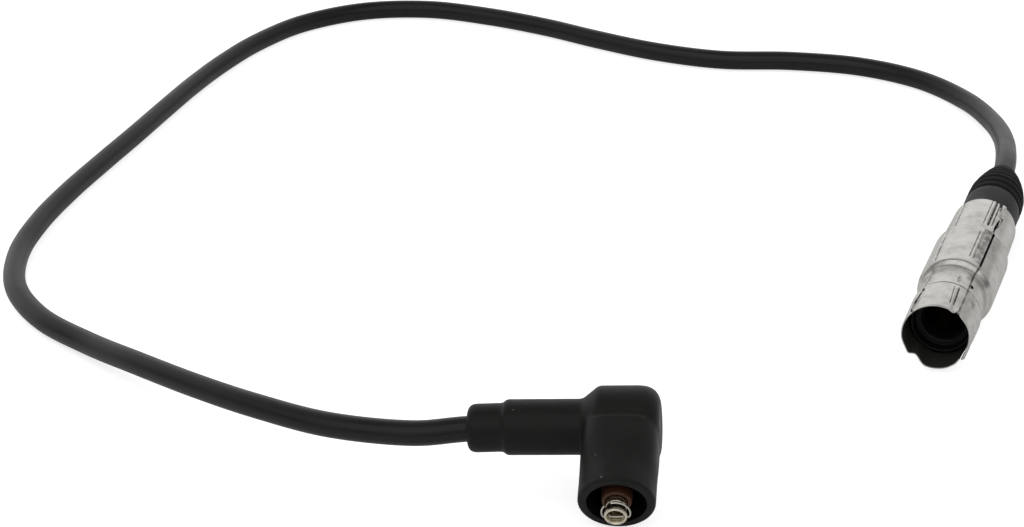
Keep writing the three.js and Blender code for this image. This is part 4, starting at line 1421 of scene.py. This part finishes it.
@dataclass
class ElbowConnector:
    """Right-angled rubber connector. Stations run from its mouth, reaches along its arm, in metres."""

    place: Place = field(
        default_factory=lambda: Place(-12.845 * MM, -116.913 * MM, 9.554 * MM, 13.3, 17.9, -2.2))
    # The rubber boot
    radius: float = 10.2 * MM
    mouth_bore: float = 7.9 * MM
    mouth_depth: float = 17.0 * MM
    arm_station: float = 26.8 * MM
    knuckle_radius: float = 11.0 * MM
    knuckle_end: float = 10.4 * MM
    knuckle_rounding: float = 5.8 * MM
    cone_reach: float = 6.1 * MM
    cone_length: float = 4.4 * MM
    arm_radius: float = 7.5 * MM
    arm_reach: float = 30.9 * MM
    arm_step: float = 0.9 * MM
    neck_radius: float = 6.55 * MM
    neck_reach: float = 41.4 * MM
    neck_droop: float = 0.35 * MM
    rim_lean: float = 2.0 * MM
    rim_lean_depth: float = 12 * MM
    squareness: float = 3.4
    squared_start: float = 5 * MM
    squared_length: float = 13 * MM
    # Where the painted highlight runs: a pale line along the edge where the knuckle meets the body on top
    crease_station: float = 21.1 * MM
    crease_reach: float = 7.0 * MM
    crease_width: float = 0.45 * MM
    cable_bore: float = 3.9 * MM
    cable_bore_start: float = 20 * MM
    voxel: float = 0.34 * MM
    # The insulator's stem
    stub_radius: float = 4.1 * MM
    stub_proud: float = 0.7 * MM
    stub_bore: float = 3.0 * MM
    stub_flange: float = 1.8 * MM
    stub_setback: float = 5 * MM
    # The contact sleeve and its clip
    sleeve_proud: float = 5.8 * MM
    sleeve_radius: float = 2.7 * MM
    sleeve_rim: float = 3.05 * MM
    sleeve_bore: float = 2.2 * MM
    sleeve_end: float = 6.5 * MM
    sleeve_pin: float = 1.8 * MM
    sleeve_pin_end: float = 9.7 * MM
    clip_radius: float = 3.7 * MM
    clip_wire: float = 0.24 * MM
    clip_setback: float = 1.7 * MM
    clip_leg: float = 0.42
    clip_left_end: float = 137
    clip_right_end: float = 107

    def arm_frame(self) -> Matrix:
        """Returns the step that lays a piece turned about Y along the arm, towards -X."""
        return Matrix.Translation((0.0, self.arm_station, 0.0)) @ Matrix.Rotation(math.pi / 2, 4, "Z")

    def boot(self) -> bpy.types.Object:
        """Builds the rubber boot: body, knuckle and arm grown together, then hollowed.

        Returns:
            The object.
        """
        own = Matrix.Identity(4)
        body = turned("elbow_boot_rubber", rounded([
            (0.0, 0.0), (0.0, self.radius, 0.6 * MM), *((k * 1.5 * MM, self.radius) for k in range(2, 17)),
            (self.arm_station, self.radius), (self.arm_station, 0.0),
        ]), 96, own)
        arm = turned("arm", rounded([
            (-self.knuckle_end, 0.0),
            (-self.knuckle_end, self.knuckle_radius, self.knuckle_rounding),
            (self.cone_reach, self.knuckle_radius, 0.9 * MM),
            (self.cone_reach + self.cone_length, self.arm_radius, 0.9 * MM),
            (self.arm_reach, self.arm_radius, 0.6 * MM),
            (self.arm_reach + self.arm_step, self.neck_radius, 0.6 * MM),
            (self.neck_reach, self.neck_radius, 2.4 * MM),
            (self.neck_reach, 0.0),
        ]), 96, self.arm_frame())
        for vertex in body.data.vertices:
            vertex.co = self.squared(vertex.co)
        combined(body, arm, Joining.JOINED)
        grow = body.modifiers.new("grow", "REMESH")
        grow.mode = "VOXEL"
        grow.voxel_size = self.voxel
        even = body.modifiers.new("even", "SMOOTH")
        even.factor = 0.5
        even.iterations = 6
        applied(body)
        mouth = turned("mouth", [
            (-1 * MM, 0.0), (-1 * MM, self.mouth_bore), (self.mouth_depth, self.mouth_bore),
            (self.mouth_depth, 0.0),
        ], 96, own)
        hole = turned("hole", [
            (self.cable_bore_start, 0.0), (self.cable_bore_start, self.cable_bore),
            (self.neck_reach + 1 * MM, self.cable_bore), (self.neck_reach + 1 * MM, 0.0),
        ], 64, self.arm_frame())
        combined(body, mouth, Joining.CUT_AWAY)
        combined(body, hole, Joining.CUT_AWAY)
        # Paints the pale highlight line along the crease on top
        paint(body, "crease_highlight", np.array([self.crease_highlight(vertex.co) for vertex in body.data.vertices]))
        for vertex in body.data.vertices:
            vertex.co = self.eased(vertex.co)
        body.data.transform(self.place.matrix())
        body.data.shade_smooth()
        crisp_edges(body, 38.0)
        return body

    def squared(self, point: Vector) -> Vector:
        """Returns a point of the round body moved out, so that the body turns nearly square.

        Args:
            point: the point, in the elbow's own frame.

        Returns:
            The moved point.
        """
        share = min(max((point.y - self.squared_start) / self.squared_length, 0.0), 1.0)
        power = 2.0 + (self.squareness - 2.0) * share * share * (3.0 - 2.0 * share)
        angle = math.atan2(point.z, point.x)
        grown = (abs(math.cos(angle)) ** power + abs(math.sin(angle)) ** power) ** (-1.0 / power)
        return Vector((point.x * grown, point.y, point.z * grown))

    def crease_highlight(self, point: Vector) -> float:
        """Returns how much a point of the boot lies on the painted highlight: a pale line along the edge where
        its knuckle begins on top.

        Args:
            point: the point, in the elbow's own frame.

        Returns:
            The share, from 0 to 1.
        """
        if point.z < 0.0 or abs(point.x) > self.crease_reach:
            return 0.0
        return max(0.0, 1.0 - abs(point.y - self.crease_station) / self.crease_width)

    def eased(self, point: Vector) -> Vector:
        """Returns a point of the soft boot where it settles: its neck droops and its rim leans forward.

        Args:
            point: the point, in the elbow's own frame.

        Returns:
            The moved point.
        """
        along = min(max((-point.x - self.arm_reach) / (self.neck_reach - self.arm_reach), 0.0), 1.0)
        near = min(max(1.0 - point.y / self.rim_lean_depth, 0.0), 1.0)
        lean = self.rim_lean * (0.5 + 0.5 * point.z / self.radius) * near * near * (3.0 - 2.0 * near)
        return Vector((point.x, point.y - lean, point.z - self.neck_droop * along))

    def stem(self) -> bpy.types.Object:
        """Builds the insulator's stem, which stands in the boot's mouth, with its rounded front.

        Returns:
            The object.
        """
        front, r, back = -self.stub_proud, self.stub_radius, self.arm_station - self.stub_setback
        corners = [
            (front, self.stub_bore, 0.1 * MM),
            (front, r - 0.3 * MM, 0.25 * MM),
            (front + 1.6 * MM, r, 0.6 * MM),
            (self.mouth_depth, r + 0.1 * MM, 0.1 * MM),
            (self.mouth_depth, r + self.stub_flange),
            (back, r + self.stub_flange, 0.8 * MM),
            (back, self.stub_bore),
        ]
        return turned("insulator_stem", rounded(corners, Rounding.COARSE), 72, self.place.matrix(), 45.0)

    def sleeve(self) -> bpy.types.Object:
        """Builds the contact sleeve with its rolled rim, and its two slots for the clip.

        Returns:
            The object.
        """
        front = -self.sleeve_proud
        corners = [
            (front, self.sleeve_bore + 0.25 * MM, 0.15 * MM),
            (front, self.sleeve_rim - 0.1 * MM, 0.3 * MM),
            (front + 1.1 * MM, self.sleeve_rim, 0.35 * MM),
            (front + 1.2 * MM, self.sleeve_radius, 0.1 * MM),
            (front + 2.6 * MM, self.sleeve_radius, 0.1 * MM),
            (front + 2.7 * MM, self.sleeve_radius - 0.15 * MM, 0.08 * MM),
            (front + 3.4 * MM, self.sleeve_radius - 0.15 * MM, 0.08 * MM),
            (front + 3.5 * MM, self.sleeve_radius, 0.1 * MM),
            (self.sleeve_end, self.sleeve_radius, 0.2 * MM),
            (self.sleeve_end, self.sleeve_pin),
            (self.sleeve_pin_end, self.sleeve_pin, 0.2 * MM),
            (self.sleeve_pin_end, 0.0),
        ]
        bore = [(3.2 * MM, 0.0), (3.2 * MM, self.sleeve_bore), (front + 0.5 * MM, self.sleeve_bore)]
        outline = rounded([*bore, *corners])
        piece = turned("contact_sleeve_metal", outline, 72, Matrix.Identity(4), 40.0)
        height = 2 * self.clip_wire + 0.5 * MM
        middle = (0.0, front + self.clip_setback, -self.clip_leg * self.clip_radius)
        bpy.ops.mesh.primitive_cube_add(size=1.0, location=middle)
        slot = bpy.context.active_object
        slot.scale = (12 * MM, height, height)
        combined(piece, slot, Joining.CUT_AWAY)
        piece.data.transform(self.place.matrix())
        piece.data.shade_smooth()
        crisp_edges(piece, 40.0)
        return piece

    def clip(self) -> bpy.types.Object:
        """Builds the wire clip: an open ring round the sleeve whose ends meet a straight leg across its bore.

        Returns:
            The object.
        """
        r, station = self.clip_radius, -self.sleeve_proud + self.clip_setback
        lean = math.asin(self.clip_leg)
        left, right = math.radians(self.clip_left_end), math.radians(self.clip_right_end)
        line = []
        for k in range(17):
            angle = left + (math.pi + lean - left) * k / 16
            line.append(Vector((r * math.cos(angle), station, r * math.sin(angle))))
        reach = r * math.cos(lean)
        line += [Vector((reach * x, station, -self.clip_leg * r)) for x in (-0.75, -0.4, 0.0, 0.4, 0.75)]
        for k in range(29):
            angle = -lean + (right + lean) * k / 28
            line.append(Vector((r * math.cos(angle), station, r * math.sin(angle))))
        return round_wire("contact_clip_wire", line, self.clip_wire, 16, self.place.matrix())

    def build(self, finishes: Finishes, frame: dict) -> list[bpy.types.Object]:
        """Builds and dresses the elbow.

        Args:
            finishes: the materials.

        Returns:
            The new pieces.
        """
        boot, stem, sleeve, clip = self.boot(), self.stem(), self.sleeve(), self.clip()
        for piece, node, slot in (
            (boot, "elbow_boot", "boot_rubber"),
            (stem, "elbow_insulator", "brown_resin"),
            (sleeve, "contact_sleeve", "cap_metal"),
            (clip, "contact_clip", "spring_wire"),
        ):
            finishes.install(piece, node, slot)
        dress_nodes(frame, ELBOW_HIDDEN, finishes)
        return [boot, stem, sleeve, clip]


def dress_nodes(frame: dict, names: tuple[str, ...], finishes: Finishes) -> None:
    """Gives the frame's own nodes the finish of their slot.

    Args:
        names: the nodes.
        finishes: the materials.
    """
    slots = {s["node"]: s["material_slot"] for s in frame["record"]["subparts"]}
    for name in names:
        node = frame["nodes"][name]
        node.data.materials.clear()
        node.data.materials.append(finishes.by_slot[slots[name]])


@dataclass
class IgnitionCable:
    """Seven millimetre cable from the elbow to the plug connector."""

    elbow: ElbowConnector
    plug: PlugConnector
    radius: float = 3.5 * MM
    straight: float = 14.0 * MM
    elbow_end: float = 12.0 * MM
    plug_end: float = 87.5 * MM
    length: float = 0.92
    sides: int = 24
    step: float = 2.4 * MM

    # x, y and lift of each point of the route over the floor, in millimetres
    route: tuple[tuple[float, float, float], ...] = (
        (-97.9, -103.7, 9.1), (-123.4, -96.7, 7.9), (-147.9, -86.2, 6),
        (-171.9, -74.2, 4), (-194.4, -60.9, 1),
        (-217.4, -47.7, 0.2), (-236.4, -29.2, 0.1), (-248.6, -5.3, 0), (-254.8, 20.3, 0), (-257.7, 46.8, 0),
        (-258.9, 73.8, 0), (-259.7, 100.3, 0), (-260.8, 126.8, 0), (-261.6, 153.3, 0), (-260.9, 179.8, 0),
        (-257.6, 206.2, 0), (-249, 231.4, 0), (-231, 251.4, 0), (-206.4, 260, 0), (-180, 257.8, 0),
        (-153.8, 251.2, 0), (-128.8, 242, 0), (-103.4, 234.4, 0), (-76.9, 231.8, 0), (-50.9, 237.2, 0),
        (-24.4, 237.7, 0), (0.2, 229, 0), (20.4, 211.1, 0.2), (33.5, 187.9, 2), (41.4, 163.8, 5),
    )

    def points(self) -> list[Vector]:
        """Returns the points the cable passes through, from end to end.

        Returns:
            The points in the row frame, in metres.
        """
        to_row = self.elbow.place.matrix()
        neck, end = self.elbow.neck_reach, self.elbow_end
        # How far along the arm each point lies, and how many millimetres it hangs below the arm's axis
        hang = ((end, 0.0), ((end + neck) / 2, 0.03), (neck, 0.45), (neck + self.radius, 0.75),
                (neck + self.straight, 1.7))
        from_elbow = [to_row @ Vector((-reach, self.elbow.arm_station, 0.0)) for reach, _ in hang]
        for point, (_, drop) in zip(from_elbow, hang):
            point.z -= drop * MM
        over_floor = [Vector((x * MM, y * MM, self.radius + lift * MM)) for x, y, lift in self.route]
        exit_station, tail = self.plug.boot_end, self.plug.tail_end
        stations = [exit_station + self.straight]
        stations += [tail + (exit_station - tail) * share for share in (1.0, 0.75, 0.5, 0.25, 0.0)]
        stations.append(self.plug_end)
        to_row = self.plug.place.matrix()
        to_plug = [to_row @ Vector((-self.plug.bend_at(s), s, 0.0)) for s in stations]
        return [*from_elbow, *over_floor, *to_plug]

    def centreline(self) -> list[Vector]:
        """Returns a smooth line through the points, close enough together to look round.

        Returns:
            The line's points in the row frame, in metres.
        """
        points = self.points()
        points = [points[0] * 2 - points[1], *points, points[-1] * 2 - points[-2]]
        line: list[Vector] = []
        for p0, p1, p2, p3 in zip(points, points[1:], points[2:], points[3:]):
            knots = [0.0]
            for a, b in ((p0, p1), (p1, p2), (p2, p3)):
                knots.append(knots[-1] + math.sqrt((b - a).length))
            steps = max(2, round((p2 - p1).length / self.step))
            for k in range(steps):
                t = knots[1] + (knots[2] - knots[1]) * k / steps
                line.append(self._between(p0, p1, p2, p3, knots, t))
        line.append(points[-2].copy())
        return line

    @staticmethod
    def _between(p0: Vector, p1: Vector, p2: Vector, p3: Vector, knots: list[float], t: float) -> Vector:
        """Returns the point at t on the smooth span from p1 to p2, whose spacing follows the knots.

        Args:
            p0: the point before the span.
            p1: the span's start.
            p2: the span's end.
            p3: the point after the span.
            knots: the four points' places on the line.
            t: the place that is asked for.

        Returns:
            The point.
        """
        t0, t1, t2, t3 = knots
        a1 = p0 * ((t1 - t) / (t1 - t0)) + p1 * ((t - t0) / (t1 - t0))
        a2 = p1 * ((t2 - t) / (t2 - t1)) + p2 * ((t - t1) / (t2 - t1))
        a3 = p2 * ((t3 - t) / (t3 - t2)) + p3 * ((t - t2) / (t3 - t2))
        b1 = a1 * ((t2 - t) / (t2 - t0)) + a2 * ((t - t0) / (t2 - t0))
        b2 = a2 * ((t3 - t) / (t3 - t1)) + a3 * ((t - t1) / (t3 - t1))
        return b1 * ((t2 - t) / (t2 - t1)) + b2 * ((t - t1) / (t2 - t1))

    def build(self, finishes: Finishes) -> bpy.types.Object:
        """Args:
            finishes: the materials.

        Returns:
            The object.
        """
        line = self.centreline()
        piece = round_wire("cable_sheath", line, self.radius, self.sides, Matrix.Identity(4))
        finishes.install(piece, "cable", "cable_sheath")
        leave = self.elbow.place.matrix() @ Vector((-self.elbow.neck_reach, self.elbow.arm_station, 0.0))
        return piece


@dataclass
class Studio:
    """Camera, lamps, pale floor and white surroundings."""

    lens: float = 92.08
    eye: tuple[float, float, float] = (0.161805, -0.68335, 0.34258)
    turn: float = 19.58
    tilt: float = 65.89
    lean: float = -1.64
    floor_size: float = 6.0
    # The floor's grey where the lamps light it, and the glow that the camera and metal see on top of that
    floor_grey: float = 0.6
    floor_seen: float = 0.75
    floor_mirrored: float = 0.2
    # The world's light on the object; in metal, the white tent's brightness in front, what its back adds to
    # that, and how much darker it is overhead and low at the right
    world_light: float = 0.4
    tent_front: float = 0.14
    tent_back: float = 0.78
    tent_overhead: float = 0.6
    tent_low_right: float = 0.5
    # Name, place, width, height and power
    lamps: tuple = (
        ("over_left", (-0.85, 0.35, 0.95), 1.3, 1.3, 5.0),
        ("over_right", (0.8, 0.5, 1.0), 1.3, 1.3, 4.0),
        ("over_front", (-0.1, -0.75, 1.1), 1.7, 0.45, 3.4),
    )
    aim: tuple[float, float, float] = (0.0, 0.05, 0.0)

    def camera(self) -> None:
        """Makes the camera at the photograph's viewing angle."""
        data = bpy.data.cameras.new("camera")
        data.lens, data.sensor_width = self.lens, 36.0
        data.clip_start, data.clip_end = 0.01, 20.0
        camera = bpy.data.objects.new("camera", data)
        turns = (
            Matrix.Rotation(math.radians(self.turn), 4, "Z")
            @ Matrix.Rotation(math.radians(self.tilt), 4, "X")
            @ Matrix.Rotation(math.radians(self.lean), 4, "Z")
        )
        camera.matrix_world = Matrix.Translation(self.eye) @ turns
        bpy.context.scene.collection.objects.link(camera)
        bpy.context.scene.camera = camera

    def light(self) -> None:
        """Makes the soft lamps, which don't show in metal."""
        for name, place, width, height, power in self.lamps:
            data = bpy.data.lights.new(name, "AREA")
            data.shape, data.size, data.size_y, data.energy = "RECTANGLE", width, height, power
            lamp = bpy.data.objects.new(name, data)
            lamp.location = place
            lamp.visible_glossy = False
            lamp.rotation_euler = (Vector(self.aim) - Vector(place)).to_track_quat("-Z", "Y").to_euler()
            bpy.context.scene.collection.objects.link(lamp)

    def floor(self) -> None:
        """Makes the floor, which is white to the camera and paler in metal than its own grey."""
        half = self.floor_size / 2
        edges = np.array([(-half, -half, 0), (half, -half, 0), (half, half, 0), (-half, half, 0)])
        floor = mesh_piece("floor", edges, [(0, 1, 2, 3)], Matrix.Identity(4))
        material = bpy.data.materials.new("pale_floor")
        material.use_nodes = True
        tree = material.node_tree
        tree.nodes.clear()
        in_camera, mirrored = self.rays(tree)
        plain = add_node(tree, "ShaderNodeBsdfDiffuse")
        plain.inputs["Color"].default_value = (self.floor_grey, self.floor_grey, self.floor_grey, 1.0)
        glow = add_node(tree, "ShaderNodeEmission")
        seen = add_math(tree, "MULTIPLY", in_camera, self.floor_seen)
        gleam = add_math(tree, "MULTIPLY", mirrored, self.floor_mirrored)
        tree.links.new(add_math(tree, "ADD", seen, gleam), glow.inputs["Strength"])
        both = add_node(tree, "ShaderNodeAddShader")
        tree.links.new(plain.outputs[0], both.inputs[0])
        tree.links.new(glow.outputs[0], both.inputs[1])
        out = add_node(tree, "ShaderNodeOutputMaterial")
        tree.links.new(both.outputs[0], out.inputs["Surface"])
        floor.data.materials.append(material)

    @staticmethod
    def rays(tree: bpy.types.NodeTree) -> tuple[Socket, Socket]:
        """Adds the test for what looks at a surface.

        Args:
            tree: the node tree.

        Returns:
            Two sockets: 1 where the camera looks, and 1 where something mirrors it.
        """
        rays = add_node(tree, "ShaderNodeLightPath").outputs
        mirrored = add_math(tree, "MAXIMUM", rays["Is Glossy Ray"], rays["Is Transmission Ray"])
        return rays["Is Camera Ray"], mirrored

    def surroundings(self) -> None:
        """Makes the world: white to the camera, plain light on the object, and a white tent in metal.

        The tent is open to the darker room in front, apart from a window high up, and greyer overhead and low
        at the right of the back.
        """
        world = bpy.data.worlds.new("surroundings")
        world.use_nodes = True
        tree = world.node_tree
        way = add_node(tree, "ShaderNodeSeparateXYZ")
        tree.links.new(add_node(tree, "ShaderNodeTexCoord").outputs["Generated"], way.inputs[0])
        x, y, z = way.outputs
        back = ramp(tree, y, -0.25, 0.15)
        overhead = ramp(tree, z, 0.48, 0.78)
        low_right = add_math(tree, "MULTIPLY", ramp(tree, x, 0.18, 0.42), ramp(tree, z, 0.75, 0.3))
        tent = add_math(tree, "ADD", add_math(tree, "MULTIPLY", back, self.tent_back), self.tent_front)
        corner = add_math(tree, "MULTIPLY", low_right, back)
        for patch, grey in ((overhead, self.tent_overhead), (corner, self.tent_low_right)):
            kept = add_math(tree, "SUBTRACT", 1.0, add_math(tree, "MULTIPLY", patch, grey))
            tent = add_math(tree, "MULTIPLY", tent, kept)
        window = add_math(tree, "MULTIPLY", ramp(tree, y, -0.1, -0.28), ramp(tree, z, 0.0, 0.45))
        window = add_math(tree, "MULTIPLY", window, ramp(tree, add_math(tree, "ABSOLUTE", x), 1.4, 0.4))
        tent = add_math(tree, "MAXIMUM", tent, window)
        seen, mirrored = self.rays(tree)
        rest = add_math(tree, "SUBTRACT", 1.0, add_math(tree, "MAXIMUM", seen, mirrored))
        strength = add_math(tree, "ADD", add_math(tree, "MULTIPLY", mirrored, tent),
                            add_math(tree, "ADD", seen, add_math(tree, "MULTIPLY", rest, self.world_light)))
        tree.nodes["Background"].inputs["Color"].default_value = WHITE
        tree.links.new(strength, tree.nodes["Background"].inputs["Strength"])
        bpy.context.scene.world = world

    def build(self) -> None:
        """Makes the lamps, the floor and the surroundings."""
        self.light()
        self.floor()
        self.surroundings()
        bpy.context.scene.view_settings.view_transform = "Standard"


def corners(box: tuple[Vector, Vector]) -> list[list[float]]:
    """Returns a box's two corners as plain lists."""
    return [[float(v) for v in corner] for corner in box]


def main() -> None:
    """Builds the studio, the cable and the connectors, and logs each new piece's face count."""
    logging.basicConfig(level=logging.INFO, format="%(name)s: %(message)s")
    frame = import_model()
    studio = Studio()
    studio.camera()
    finishes = Finishes()
    plug, elbow = PlugConnector(), ElbowConnector()
    pieces = [IgnitionCable(elbow, plug).build(finishes)]
    pieces += plug.build(finishes, frame)
    pieces += elbow.build(finishes, frame)
    studio.build()
    for piece in pieces:
        log.info("%s: %d faces", piece.name, len(piece.data.polygons))


if __name__ == "__main__":
    main()
